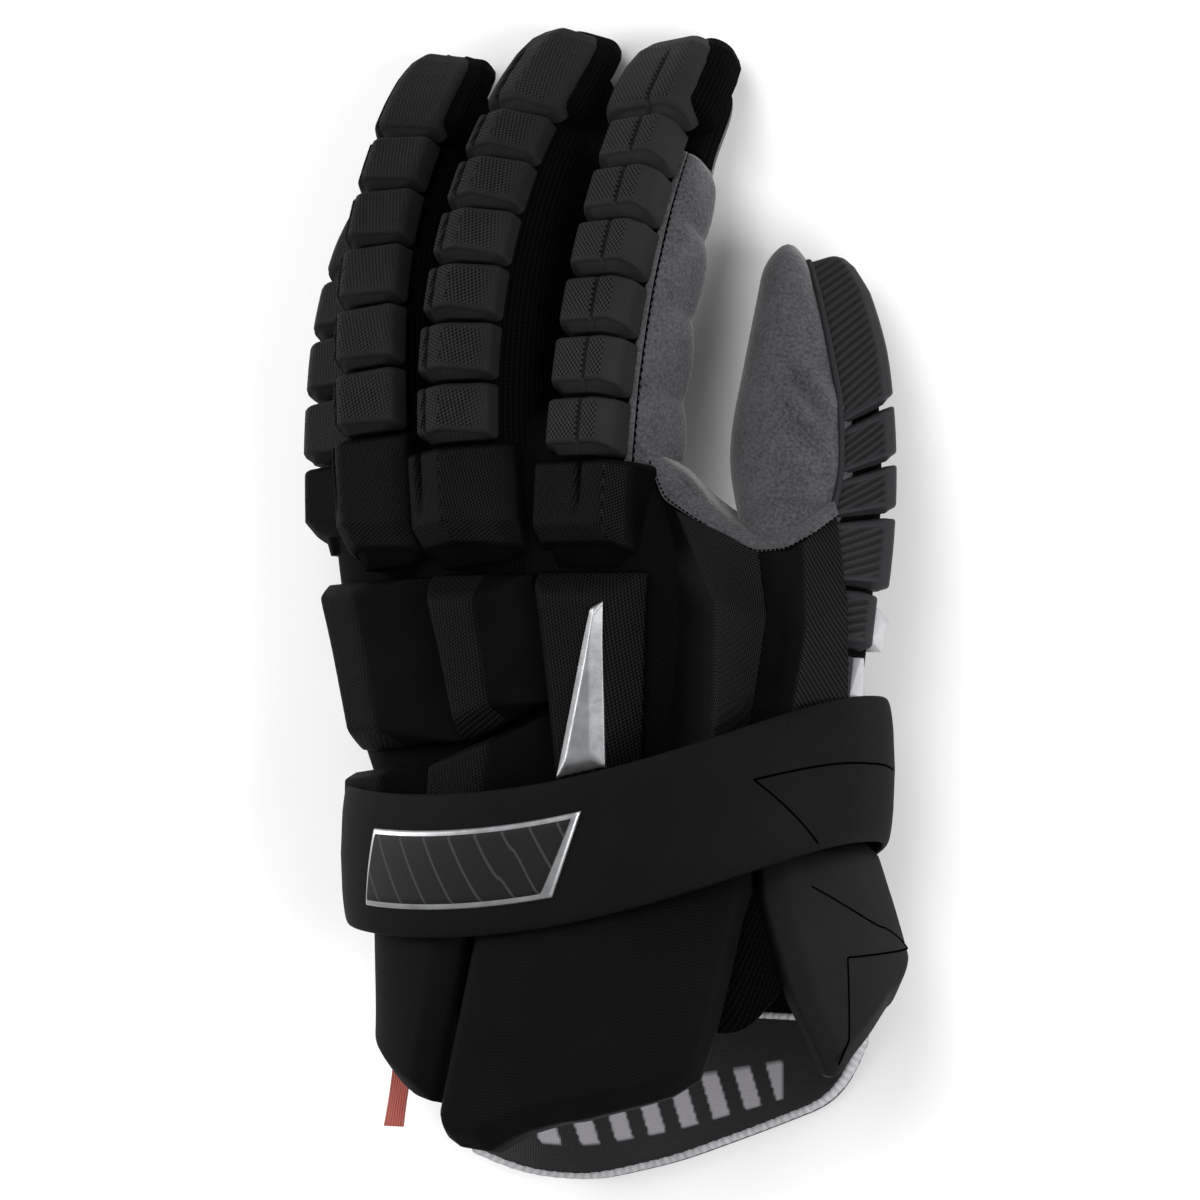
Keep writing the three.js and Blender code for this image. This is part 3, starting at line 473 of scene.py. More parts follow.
def padded_block(name, crest, start, stop, left, right, depth, faces, material, look):
    """A foam block carried along a digit. Its section is the outline of faces with rounded corners,
    scaled by the end rows; the groove is a notch of cosine shape along it, ribs are a sine wave over its
    main face, and the wrist end leans forward by a slope."""
    outline = rounded_outline(faces["outline"], look["corner"], np.array([right - left, depth]))
    section = resampled(outline, look["points"])
    length = (stop - start) * crest.length
    along, inset, factor = end_rows(length, look["edge"], look["rows"])
    share = along / length
    width = right - left
    middle = width / 2
    swell = np.interp(share, look["swell_at"], look["swell_width"])
    rise = np.interp(share, look["swell_at"], look["swell_rise"])
    scale_across = (1 - 2 * inset / width) * swell
    scale_up = (1 - inset / depth) * rise
    across = (section[None, :, 0] - middle) * (scale_across * factor)[:, None]
    up = section[None, :, 1] * (scale_up * factor)[:, None] + depth * 0.45 * (1 - factor)[:, None]
    on_top = smooth_step(section[:, 1] / depth, 0.35, 0.7)[None, :] * factor[:, None]
    groove_at = (faces["groove"] - 0.5) * width
    notch = 0.5 + 0.5 * np.cos(np.clip((across - groove_at) / look["groove_width"], -1, 1) * math.pi)
    run = np.interp(share, look["groove_at"], look["groove_run"])[:, None]
    up = up - look["groove_depth"] * notch * run * on_top
    lean = np.outer(1 - share, section[:, 1] / depth) * look["wrist_slope"] * (factor > 0.99)[:, None]
    lean = lean - np.outer(share, section[:, 1] / depth) * look["tip_slope"] * (factor > 0.99)[:, None]
    climb = look["climb"][0] * (1 - share) + look["climb"][1] * share
    position = along[:, None] + lean + across * climb[:, None]
    shares = section[:, 0] / width
    if look["rib"] > 0:
        inner = window(shares, 0.06, 0.12, 0.6, 0.64)
        inside = window(along, 1.5, 2.5, length - 2.5, length - 1.5)
        wave = np.cos(2 * math.pi * (along[:, None] - across * look["rib_slant"]) / look["rib_pitch"])
        ribs = np.outer(inside, inner) * factor[:, None]
        up = up + look["rib"] * (wave - 1) * ribs
    at = start + position / crest.length
    points = crest.place(at, across + (left + right) / 2, up - depth - look["sink"])
    run_across = running_length(section)
    ridge = np.interp(faces["ridge"] * width, section[:, 0], run_across)
    mirrored = np.abs(run_across - ridge)
    u = np.concatenate([mirrored, mirrored[:1]])
    v = np.concatenate([along, along[-1:]])
    pattern = np.stack(np.meshgrid(u, v), -1)
    # Outside the coarse weave (sides, ends and the groove) the plain weave shows; the block finish paints it
    # darker, as painted shade
    left_edge, right_edge = look["grain_from"], look["grain_to"]
    coarse = window(shares, left_edge - 0.02, left_edge, right_edge, right_edge + 0.02)
    kept = window(along, 1.2, 2.2, length - 2.0, length - 1.0) * (factor > 0.99)
    grain_and_shade = np.outer(kept, coarse) * on_top * (1 - notch * run)
    # Over the ribs the mask falls toward 0 in each valley, which the guard's finish shows as painted shade
    if look["rib"] > 0:
        grain_and_shade = 1 - ribs * (0.5 - 0.5 * wave)
    return grid_object(name, points, material, around=True, grain_and_shade=grain_and_shade, pattern=pattern)


PAD_LOOK = {
    "corner": 1.6, "edge": 1.6, "points": 90, "rows": 16, "swell_at": [0, 1], "swell_width": [1, 1],
    "swell_rise": [1, 1], "groove_width": 1.0, "groove_depth": 2.2, "groove_at": [0, 0.1, 0.9, 1],
    "groove_run": [0.2, 1, 1, 0.4], "wrist_slope": 2.6, "tip_slope": 0.5, "rib": 0.0, "rib_slant": 0.0,
    "rib_pitch": 3.3, "grain_from": 0.06, "grain_to": 0.96, "climb": (0.0, 0.0), "sink": 0.0,
}


def blurred(field, times):
    """Each value becomes the mean of itself and its four neighbours, so creases get a small radius.
    Beyond the rim the field goes on point-symmetrically, which keeps the rim in place."""
    for _ in range(times):
        rim = [(1, 1), (1, 1)] + [(0, 0)] * (field.ndim - 2)
        wide = np.pad(field, rim, mode="reflect", reflect_type="odd")
        field = (wide[1:-1, 1:-1] + wide[:-2, 1:-1] + wide[2:, 1:-1] + wide[1:-1, :-2] + wide[1:-1, 2:]) / 5
    return field


def net_surface(net, rows, cols, softness):
    """A surface through a net of points: straight between them, then blurred as often as softness says.
    The net is in the photograph's axes: mm to the right, mm up the picture and mm toward the viewer,
    from what the view looks at."""
    net = np.array(net, float)
    down = np.linspace(0, net.shape[0] - 1, rows)
    across = np.linspace(0, net.shape[1] - 1, cols)
    r = np.minimum(down.astype(int), net.shape[0] - 2)
    c = np.minimum(across.astype(int), net.shape[1] - 2)
    t, s = (down - r)[:, None, None], (across - c)[None, :, None]
    top = net[r][:, c] * (1 - s) + net[r][:, c + 1] * s
    low = net[r + 1][:, c] * (1 - s) + net[r + 1][:, c + 1] * s
    return from_view(blurred(top * (1 - t) + low * t, softness))


def from_view(points):
    """Points in the photograph's axes as points of the glove."""
    tilt = math.radians(VIEW_TILT)
    right = np.array([math.cos(tilt), 0, -math.sin(tilt)])
    toward = np.array([math.sin(tilt), 0, math.cos(tilt)])
    start = np.array(VIEW_TARGET) * 1000
    upward = np.array([0, 1.0, 0])
    return start + points[..., :1] * right + points[..., 1:2] * upward + points[..., 2:] * toward


def along_line(line, share):
    """Points at shares of a line's length."""
    line = np.array(line, float)
    scaled = line / np.maximum(np.ptp(line, axis=0).max(), 1e-9)
    run = running_length(scaled)
    return columns_at(share, run / run[-1], line)


def four_sided(left, right, front, back, s, t):
    """A patch between four lines: the blend of the side lines plus the blend of the end lines, less the
    blend of the four corners. s runs from left to right and t from front to back."""
    a, b = along_line(left, t)[:, None], along_line(right, t)[:, None]
    c, d = along_line(front, s)[None, :], along_line(back, s)[None, :]
    s, t = s[None, :, None], t[:, None, None]
    corners = [c[:, :1], c[:, -1:], d[:, :1], d[:, -1:]]
    bilinear = (1 - t) * ((1 - s) * corners[0] + s * corners[1]) + t * ((1 - s) * corners[2] + s * corners[3])
    return (1 - s) * a + s * b + (1 - t) * c + t * d - bilinear


def edge_marks(count, edge=0.012):
    """Shares from 0 to 1, closer together near the ends."""
    inner = np.linspace(0, 1, count)
    eased = 0.5 - 0.5 * np.cos(math.pi * inner)
    mixed = 0.55 * inner + 0.45 * eased
    return np.concatenate([[0], mixed * (1 - 2 * edge) + edge, [1]])


def mitred(points, sides, height):
    """Rise of a padding with bevelled sides: at each point the lowest of the four sides' slopes. A slope
    starts at its wall's share of the height and reaches the full height at its width from the side."""
    across = lengths_along(points, 1, False)
    down = lengths_along(points, 0, False)
    distances = [across, across[:, -1:] - across, down, down[-1:, :] - down]
    rises = [np.clip(wall + (1 - wall) * distance / width, 0, 1)
             for distance, (wall, width) in zip(distances, sides)]
    field = np.minimum.reduce(rises)
    rim = np.zeros_like(field)
    rim[1:-1, 1:-1] = 1
    return blurred(field, 3) * height * rim


def section_table(rows):
    """A section's five numbers along Y, as one dense table that is smoothed with a moving mean."""
    rows = np.array(rows, float)[::-1]
    y = np.linspace(rows[0, 0], rows[-1, 0], 240)
    table = columns_at(y, rows[:, 0], rows[:, 1:])
    smooth = np.stack([moving_mean(column, 14) for column in table.T], -1)
    return y * LENGTH, smooth


HAND_TABLE = section_table(HAND_SECTIONS)
CUFF_TABLE = section_table(CUFF_SECTIONS)


def section_point(table, angle, y, grow, shrink=1.0):
    """A point of a rounded section at an angle round it and a place along Y: half width times the
    squared-off cosine and half height times the squared-off sine, both grown, turned by the section's
    roll."""
    angle, y, grow, shrink = np.broadcast_arrays(np.asarray(angle, float), y, grow, shrink)
    middle, half, low, high, roll = (np.interp(y, table[0], table[1][:, i]) for i in range(5))
    across = (half * WIDTH + grow) * rounded(np.cos(angle), HAND_ROUNDNESS) * shrink
    up = ((high - low) / 2 * HEIGHT + grow) * rounded(np.sin(angle), HAND_ROUNDNESS) * shrink
    roll = np.radians(roll)
    x = middle * WIDTH + MIDDLE_SHIFT + across * np.cos(roll) - up * np.sin(roll)
    z = (high + low) / 2 * HEIGHT + across * np.sin(roll) + up * np.cos(roll)
    return np.stack([x, y, z], -1)


def angle_over(table, x, y):
    """The angle at which the upper half of a section lies over x, found by halving the range forty times."""
    low, high = np.zeros_like(x), np.full_like(x, math.pi)
    for _ in range(40):
        middle = (low + high) / 2
        right = section_point(table, middle, y, 0.0)[..., 0] > x
        low, high = np.where(right, middle, low), np.where(right, high, middle)
    return (low + high) / 2


def stall_point(crest, at, angle, pad, grow=0.0):
    """A point on a digit's stall: a squared-off circle under the pads that closes to a round end."""
    depth = np.interp(at, *zip(*STALL_DEPTH))
    size = np.interp(at, *zip(*STALL_SIZE))
    closing = np.clip((at - 0.84) / 0.15, 0, 1)
    size = size * (1 - closing ** 2.8) ** (1 / 2.8)
    half_depth = crest.digit["depth"] * HEIGHT / 2 * depth
    across = (crest.digit["stall"] * WIDTH / 2 + grow) * size * rounded(np.cos(angle), STALL_ROUNDNESS)
    up = (half_depth + grow) * size * rounded(np.sin(angle), STALL_ROUNDNESS) - pad - GAP - half_depth
    points = crest.place(at, across, up)
    points[..., 2] = np.maximum(points[..., 2], 0.0)
    return points


def rolled_edge(name, line, high, wide, material, sides=16, size=1.0):
    """A binding carried along a line: an ellipse in the plane across the line, closed to a point at both
    ends."""
    tangent = np.gradient(line, axis=0)
    tangent /= np.linalg.norm(tangent, axis=1)[:, None]
    side = np.cross(tangent, [0, 0, 1.0])
    side /= np.linalg.norm(side, axis=1)[:, None]
    up = np.cross(side, tangent)
    turn = np.linspace(0, 2 * math.pi, sides, endpoint=False)
    size = np.ones(len(line)) * size
    size[[0, -1]] = 0.0
    size[[1, -2]] = 0.8
    cosine, sine = np.cos(turn)[None, :, None], np.sin(turn)[None, :, None]
    ring = wide * cosine * side[:, None] + high * sine * up[:, None]
    return grid_object(name, line[:, None] + ring * size[:, None, None], material, around=True)


def stitched(name, line, pitch, radius):
    """A row of stitches: a thin thread whose radius goes down to almost nothing once in every pitch."""
    run = running_length(line)
    marks = np.linspace(0, run[-1], int(run[-1] / pitch) * 8 + 1)
    fine = columns_at(marks, run, line)
    size = np.clip(1.6 * np.abs(np.sin(math.pi * marks / pitch)) - 0.5, 0.05, 1.0)
    return rolled_edge(name, fine, radius, radius, find_material("thread"), sides=8, size=size)


# Materials

def add(tree, kind, values=None, **settings):
    """Adds one node, makes its settings and sets or links its inputs."""
    made = tree.nodes.new(kind)
    for key, value in settings.items():
        setattr(made, key, value)
    for socket, value in (values or {}).items():
        if isinstance(value, bpy.types.NodeSocket):
            tree.links.new(value, made.inputs[socket])
        else:
            made.inputs[socket].default_value = value
    return made


def new_material(name, roughness, specular=0.5, metallic=0.0, sheen=0.0):
    """A material with its shader; the numbers that are the same all over are set on the shader's own
    sockets."""
    material = bpy.data.materials.new(name)
    material.use_nodes = True
    tree = material.node_tree
    shader = tree.nodes["Principled BSDF"]
    shader.inputs["Roughness"].default_value = roughness
    shader.inputs["Metallic"].default_value = metallic
    if not metallic:
        # A metal keeps the shader's own reflection level
        shader.inputs["Specular IOR Level"].default_value = specular
    shader.inputs["Sheen Weight"].default_value = sheen
    shader.inputs["Sheen Roughness"].default_value = 0.45
    return material, tree, shader


def opaque(colour):
    """The colour with full alpha."""
    return (*colour, 1.0)


def pattern_axes(tree, scale_u, scale_v, turn):
    """Sines of the pattern's two coordinates, turned and scaled so that one wave is the given number of
    mm."""
    place = add(tree, "ShaderNodeUVMap", uv_map="pattern")
    angle = (0, 0, math.radians(turn))
    turned = add(tree, "ShaderNodeMapping", {"Vector": place.outputs[0], "Rotation": angle})
    scaled = add(tree, "ShaderNodeMapping", {
        "Vector": turned.outputs[0], "Scale": (2 * math.pi / scale_u, 2 * math.pi / scale_v, 1)})
    parts = add(tree, "ShaderNodeSeparateXYZ", {0: scaled.outputs[0]})
    return [add(tree, "ShaderNodeMath", {0: parts.outputs[i]}, operation="SINE").outputs[0] for i in (0, 1)]


def mixed(tree, factor, low, high):
    """A colour between two, by a factor."""
    node = add(tree, "ShaderNodeMix", {0: factor, 6: low, 7: high}, data_type="RGBA")
    return node.outputs[2]


def paint(tree, shader, factor, low, high):
    """The shader's colour goes from one hex value to another, by a factor."""
    colour = mixed(tree, factor, opaque(linear(low)), opaque(linear(high)))
    tree.links.new(colour, shader.inputs["Base Color"])


def product(tree, first, second):
    """Two numbers multiplied."""
    return add(tree, "ShaderNodeMath", {0: first, 1: second}, operation="MULTIPLY").outputs[0]


def grain_and_shade_mask(tree):
    """The mask of weave, print and painted shade that each point of a mesh carries."""
    return add(tree, "ShaderNodeAttribute", attribute_name="grain_and_shade").outputs["Fac"]


def spread(tree, value, low, high, to_low=0.0, to_high=1.0):
    """A number moved from one range to another, and kept inside it."""
    return add(tree, "ShaderNodeMapRange", {0: value, 1: low, 2: high, 3: to_low, 4: to_high}).outputs[0]


def cloud(tree, size, detail=3.0):
    """Noise whose blotches are about that many millimetres across."""
    place = add(tree, "ShaderNodeTexCoord")
    return add(tree, "ShaderNodeTexNoise", {
        "Vector": place.outputs["Object"], "Scale": 1000 / size, "Detail": detail, "Roughness": 0.6,
    }).outputs[0]


def bump(tree, shader, height, depth, strength=1.0):
    """Height of the surface in millimetres of depth."""
    made = add(tree, "ShaderNodeBump", {"Height": height, "Strength": strength, "Distance": depth * MM})
    tree.links.new(made.outputs[0], shader.inputs["Normal"])


def woven(name, dark, light, roughness, coarse, fine, turn, depth, specular=0.3, plain=(0.5, 0.75)):
    """Coated nylon: a raised lattice where the mask is 1 and a finer, flatter one elsewhere, whose
    level lies between the two of plain; a low plain level paints that flat weave as painted shade. The
    lattice is the product of two crossing sines, and its hollows are darker."""
    material, tree, shader = new_material(name, roughness, specular=specular)
    mask = grain_and_shade_mask(tree)
    u, v = pattern_axes(tree, coarse, coarse * 1.5, turn)
    lattice = product(tree, u, v)
    p, q = pattern_axes(tree, fine, fine, turn + 45)
    weave = product(tree, p, q)
    raised = spread(tree, lattice, -0.55, 0.15)
    flat = spread(tree, weave, -0.9, 0.9, *plain)
    height = add(tree, "ShaderNodeMix", {0: mask, 2: flat, 3: raised}).outputs[0]
    blotch = spread(tree, cloud(tree, 30), 0.3, 0.7, -0.12, 0.12)
    level = add(tree, "ShaderNodeMath", {0: height, 1: blotch}, operation="ADD", use_clamp=True).outputs[0]
    paint(tree, shader, level, dark, light)
    bump(tree, shader, height, depth)
    return material


def knitted(name, dark, light, rib, stitch, depth, turn=0.0):
    """Knit: ribs along the piece as a sine across it, broken into stitches by a second sine along it."""
    material, tree, shader = new_material(name, 0.9, specular=0.03)
    u, v = pattern_axes(tree, rib, stitch, turn)
    ribs = spread(tree, u, -1, 1)
    loops = spread(tree, v, -1, 1, 0.35, 1)
    height = product(tree, ribs, loops)
    paint(tree, shader, height, dark, light)
    bump(tree, shader, height, depth)
    return material


def suede_material(name, dark, light):
    """Brushed microsuede: short nap that scatters light, with soft blotches where the nap lies the other
    way."""
    material, tree, shader = new_material(name, 0.95, specular=0.1, sheen=0.25)
    # Nap of 0.5 mm, drawn at about 0.9 mm so that it shows
    nap = spread(tree, cloud(tree, 0.9, 2), 0.25, 0.75)
    brushed = spread(tree, cloud(tree, 12), 0.3, 0.7)
    shade = add(tree, "ShaderNodeMix", {0: 0.28, 2: nap, 3: brushed}).outputs[0]
    paint(tree, shader, shade, dark, light)
    bump(tree, shader, nap, 0.25, 0.7)
    return material


def smooth_cloth(name, dark, light, roughness, thread, turn, depth, specular=0.1):
    """Fine twill or brushed jersey: thin slanting lines with soft blotches."""
    material, tree, shader = new_material(name, roughness, specular=specular)
    u, _ = pattern_axes(tree, thread, thread, turn)
    lines = spread(tree, u, -1, 1)
    blotch = spread(tree, cloud(tree, 25), 0.3, 0.7)
    shade = add(tree, "ShaderNodeMix", {0: 0.4, 2: lines, 3: blotch}).outputs[0]
    paint(tree, shader, shade, dark, light)
    bump(tree, shader, lines, depth, 0.6)
    return material


def ribbed(name, dark, light):
    """Brushed nylon moulded over foam. The mask is 1 on the ribs and falls toward 0 in their valleys,
    where the darker colour is painted shade."""
    material, tree, shader = new_material(name, 0.55, specular=0.1)
    mask = grain_and_shade_mask(tree)
    u, v = pattern_axes(tree, 0.95, 0.95, 45)
    weave = spread(tree, product(tree, u, v), -1, 1, 0.8, 1)
    level = product(tree, mask, weave)
    paint(tree, shader, level, dark, light)
    bump(tree, shader, weave, 0.1)
    return material


def hatched(name, dark, light, pitch, turn, roughness):
    """Gloss print with thin slanting lines: only the tops of a sine wave are light."""
    material, tree, shader = new_material(name, roughness, specular=0.2)
    u, _ = pattern_axes(tree, pitch, pitch, turn)
    lines = spread(tree, u, 0.93, 0.98)
    paint(tree, shader, lines, dark, light)
    bump(tree, shader, lines, 0.1, 0.6)
    return material


def moulded(name, colour, shade, roughness, metallic=0.0):
    """Moulded or plated plastic: even colour with faint blotches, and a gloss that differs a little over
    it."""
    material, tree, shader = new_material(name, roughness, metallic=metallic)
    blotch = spread(tree, cloud(tree, 8), 0.3, 0.7)
    paint(tree, shader, blotch, shade, colour)
    wear = spread(tree, cloud(tree, 3), 0.3, 0.7, roughness - 0.06, roughness + 0.08)
    tree.links.new(wear, shader.inputs["Roughness"])
    return material


def printed_liner(name):
    """Black satin lining with a generic print of slanting grey bars: a wave across it inside one band
    along it."""
    material, tree, shader = new_material(name, 0.6, specular=0.3)
    u, v = pattern_axes(tree, 1.0, 1.0, 45)
    weave = spread(tree, product(tree, u, v), -1, 1)
    cloth = mixed(tree, weave, opaque(linear("#060607")), opaque(linear("#19191b")))
    bars = grain_and_shade_mask(tree)
    tree.links.new(mixed(tree, bars, cloth, opaque(linear("#8f8d92"))), shader.inputs["Base Color"])
    bump(tree, shader, weave, 0.1)
    return material


def make_materials():
    """Every finish of the glove, by name."""
    made = {
        # Ballistic nylon, coated and moulded over foam: its raised hexagons glint as fine dots. Their
        # pitch of 0.75 mm is drawn at 1.25 mm so that it shows
        "pad": woven("coated_ballistic_nylon", "#000000", "#282829", 0.6, 1.25, 0.9, 0, 0.3, specular=0.06),
        # The same nylon woven as twill on the other fingers: slanting lines, mirrored at each pad's ridge
        "twill_pad": woven("ballistic_twill", "#000000", "#212122", 0.6, 1.25, 0.9, 24, 0.3, specular=0.05),
        # Heavier nylon twill, stretched over the knuckle and back blocks: near black, its weave seen on
        # lit faces. Its plain weave on their sides, grooves and plain slopes is painted darker, as painted
        # shade
        "block": woven("nylon_twill_painted_shade", "#000000", "#141415", 0.6, 1.02, 0.95, 24, 0.3, specular=0.03,
                       plain=(0.1, 0.25)),
        # Plain nylon, woven flat and left uncoated: a dull black that stays in the shade between the paddings
        "hidden": woven("plain_nylon", "#010101", "#080809", 0.7, 1.15, 0.95, 24, 0.15, specular=0.02),
        # Twill, folded over the thumb saddle's foam: steep lines on the slopes that face the thumb;
        # the slopes that face the fingers are painted darker, as painted shade
        "saddle": woven("twill_weave_painted_shade", "#000000", "#1d1d1e", 0.6, 1.02, 0.9, 60, 0.3, specular=0.04,
                        plain=(0.1, 0.3)),
        # Nylon, moulded over ribbed foam and brushed: matt grey ribs, with painted shade in their valleys
        "guard": ribbed("brushed_nylon_painted_valley_shade", "#111112", "#222224"),
        # Stretch knit between the fingers, knitted in ribs of 1.2 mm: soft black lines along each finger
        "knit": knitted("rib_knit", "#000000", "#070708", 1.3, 1.1, 0.35),
        # Microsuede, sanded until its nap stands: a soft grey with paler strokes
        "suede": suede_material("microsuede", "#1e1e20", "#4e4e51"),
        # Air mesh of the wrist, knitted with open cells of 1.4 mm: a dark grid of small hollows
        "mesh": knitted("air_mesh", "#000000", "#070708", 1.6, 1.4, 0.4, turn=45),
        # Jersey, brushed on its face and laminated onto foam: even and slightly velvety
        "strap": smooth_cloth("brushed_jersey", "#050505", "#0e0e0f", 0.7, 0.9, 75, 0.06, specular=0.06),
        # Fine twill, laminated onto the cuff's foam: thin slanting lines on dull black
        "plate": smooth_cloth("fine_twill", "#030303", "#0b0b0c", 0.72, 0.9, 80, 0.08, specular=0.04),
        # Microfibre, brushed: a paler black without a weave to the eye
        "side_plate": smooth_cloth("brushed_microfibre", "#0b0b0c", "#161618", 0.75, 0.8, 60, 0.03),
        # Plastic, plated and left satin: pale metal with soft reflections
        "silver": moulded("plated_plastic", "#a2a3a5", "#87888a", 0.34, metallic=0.85),
        # Silver tape, woven in slanting ribs and gathered round the edge: pale cloth with a faint shine
        "silver_cloth": smooth_cloth("silver_binding", "#8d8d90", "#aeaeb2", 0.5, 2.4, 70, 0.1),
        # Polypropylene, injection-moulded: an even white with a low gloss
        "white": moulded("white_polypropylene", "#a6a6a8", "#98989b", 0.5),
        # Satin tape, woven from red yarn: fine threads along it
        "red": smooth_cloth("woven_satin", "#742e28", "#b4665c", 0.6, 0.8, 0, 0.1),
        # Film, screen-printed in gloss: a dark panel with thin paler lines
        "print": hatched("gloss_print", "#060606", "#2c2c2e", 7.0, 35, 0.6),
        # Sewing thread, bonded and dyed black: a thin dull line
        "thread": smooth_cloth("thread", "#000000", "#030303", 0.8, 0.8, 0, 0.05, specular=0.0),
        # Satin lining, screen-printed: a black weave under plain grey bars
        "liner": printed_liner("printed_satin"),
    }
    return made


MATERIALS = {}


def find_material(key):
    """The finish of that name. The first call makes them all."""
    if not MATERIALS:
        MATERIALS.update(make_materials())
    return MATERIALS[key]


# Fingers

class GLOVE_OT_finger_pads(bpy.types.Operator):
    """Makes the small pads and the tip pad on the back of each finger"""
    bl_idname = "glove.finger_pads"
    bl_label = "Finger Pads"

    def execute(self, context):
        sizes = context.scene.glove_sizes
        for name, pads in PADS.items():
            crest = CRESTS[name]
            half = crest.digit["pad"] * WIDTH / 2
            pitch = (pads["tip"] - pads["first"]) / pads["count"]
            space = PAD_SPACE / crest.length
            grain_to = 0.82 if name == "index" else 0.97
            cloth = find_material("pad" if name == "index" else "twill_pad")
            look = PAD_LOOK | {
                "groove_depth": sizes.groove_depth, "edge": sizes.pad_edge, "grain_to": grain_to,
            }
            left, right = pads["pad_in"]
            for i in range(pads["count"]):
                start = pads["first"] + i * pitch
                node = f"{name}_pad_{i + 1}"
                made = padded_block(f"{node}_cover", crest, start, start + pitch - space, left - half,
                                    half - right, FINGER_PAD, PAD_FACES[name], cloth, look)
                finish_piece(made, [node])
            tip_look = look | {
                "rows": 40, "edge": sizes.pad_edge * 1.6, "swell_at": [0, 0.3, 0.6, 0.8, 0.92, 1],
                "swell_width": [1, 1, 0.96, 0.86, 0.7, 0.48], "swell_rise": [1, 1, 0.97, 0.9, 0.78, 0.55],
                "groove_at": [0, 0.05, 0.5, 0.65], "groove_run": [0.6, 1, 1, 0],
            }
            if name == "index":
                # The index finger's tip pad is a smooth dome
                tip_look |= {
                    "corner": 3.4, "edge": 3.2, "swell_at": [0, 0.3, 0.55, 0.75, 0.88, 0.96, 1],
                    "swell_width": [0.96, 1, 0.98, 0.9, 0.74, 0.54, 0.34],
                    "swell_rise": [1, 1, 0.98, 0.92, 0.8, 0.66, 0.5],
                }
            left, right = pads["tip_in"]
            made = padded_block(f"{name}_tip_pad_cover", crest, pads["tip"], 1.0, left - half, half - right,
                                FINGER_PAD, PAD_FACES[name], cloth, tip_look)
            finish_piece(made, [f"{name}_tip_pad"])
            if not pads["cap"]:
                continue
            # The knit cap shows beside the tip pad, on its thumb side
            cap_look = tip_look | {"groove_depth": 0.0, "sink": 3.4, "edge": 3.0, "corner": 3.0}
            made = padded_block(f"{name}_tip_knit", crest, pads["tip"] + 0.01, 1.02, left - half + 1.2,
                                half - right + pads["cap"], FINGER_PAD, PAD_FACES[name],
                                find_material("knit"), cap_look)
            finish_piece(made, [])
        return {"FINISHED"}


class GLOVE_OT_knuckles(bpy.types.Operator):
    """Makes the block over each knuckle"""
    bl_idname = "glove.knuckles"
    bl_label = "Knuckle Blocks"

    def execute(self, context):
        sizes = context.scene.glove_sizes
        for name, pads in PADS.items():
            crest = CRESTS[name]
            half = pads["block"] * WIDTH / 2
            look = PAD_LOOK | {
                "rows": 44, "groove_at": [0, 0.3, 0.85, 1], "groove_run": [0, 0, 1, 1], "wrist_slope": 5.0,
                "groove_depth": sizes.groove_depth * 1.2, "groove_width": 1.5, "edge": 2.0, "corner": 1.6,
                "swell_at": [0, 0.25, 1], "swell_width": [0.95, 1, 1], "swell_rise": [0.72, 1, 1],
            }
            left, right = pads["block_in"]
            made = padded_block(f"{name}_knuckle_cover", crest, pads["back"], pads["front"], left - half,
                                half - right, KNUCKLE_DEPTH, PAD_FACES[name], find_material("block"), look)
            finish_piece(made, [f"{name}_knuckle_block"])
        return {"FINISHED"}


# Where the suede of a digit starts: sine of the angle on its left and right side, and where its knit tip
# starts
SUEDE_SIDES = {
    "index": (-0.85, 0.9, 0.735),
    "middle": (-0.85, -0.85, 2.0),
    "ring": (-0.85, -0.85, 2.0),
    "pinky": (-0.85, -0.4, 2.0),
    "thumb": (0.975, -0.4, 2.0),
}


def strip_share(cols):
    """Shares across a strip, closer together toward its far side."""
    return 1 - (1 - np.linspace(0, 1, cols)) ** 1.5


def digit_strips(name, first, rows, cols):
    """Grids of the knit back and of the suede front of a digit, which meet at the two seam angles."""
    crest = CRESTS[name]
    left, right, knit_from = SUEDE_SIDES[name]
    closing = 0.99 - 0.15 * (1 - np.sin(np.linspace(0.1, math.pi / 2, 14)))
    at = np.concatenate([np.linspace(first, 0.84, rows), closing])
    at = np.clip(at, first, 0.9899)
    past = smooth_step(at, knit_from, knit_from + 0.004)
    exponent = STALL_ROUNDNESS / 2
    right_now = right * (1 - past) + min(right, -0.4) * past
    right_angle = np.arcsin(np.sign(right_now) * np.abs(right_now) ** exponent)
    left_angle = math.pi - np.arcsin(np.sign(left) * abs(left) ** exponent)
    share = strip_share(cols)
    back = right_angle[:, None] + (left_angle - right_angle[:, None]) * share
    front = left_angle + (right_angle[:, None] + 2 * math.pi - left_angle) * share
    return crest, at, back, front


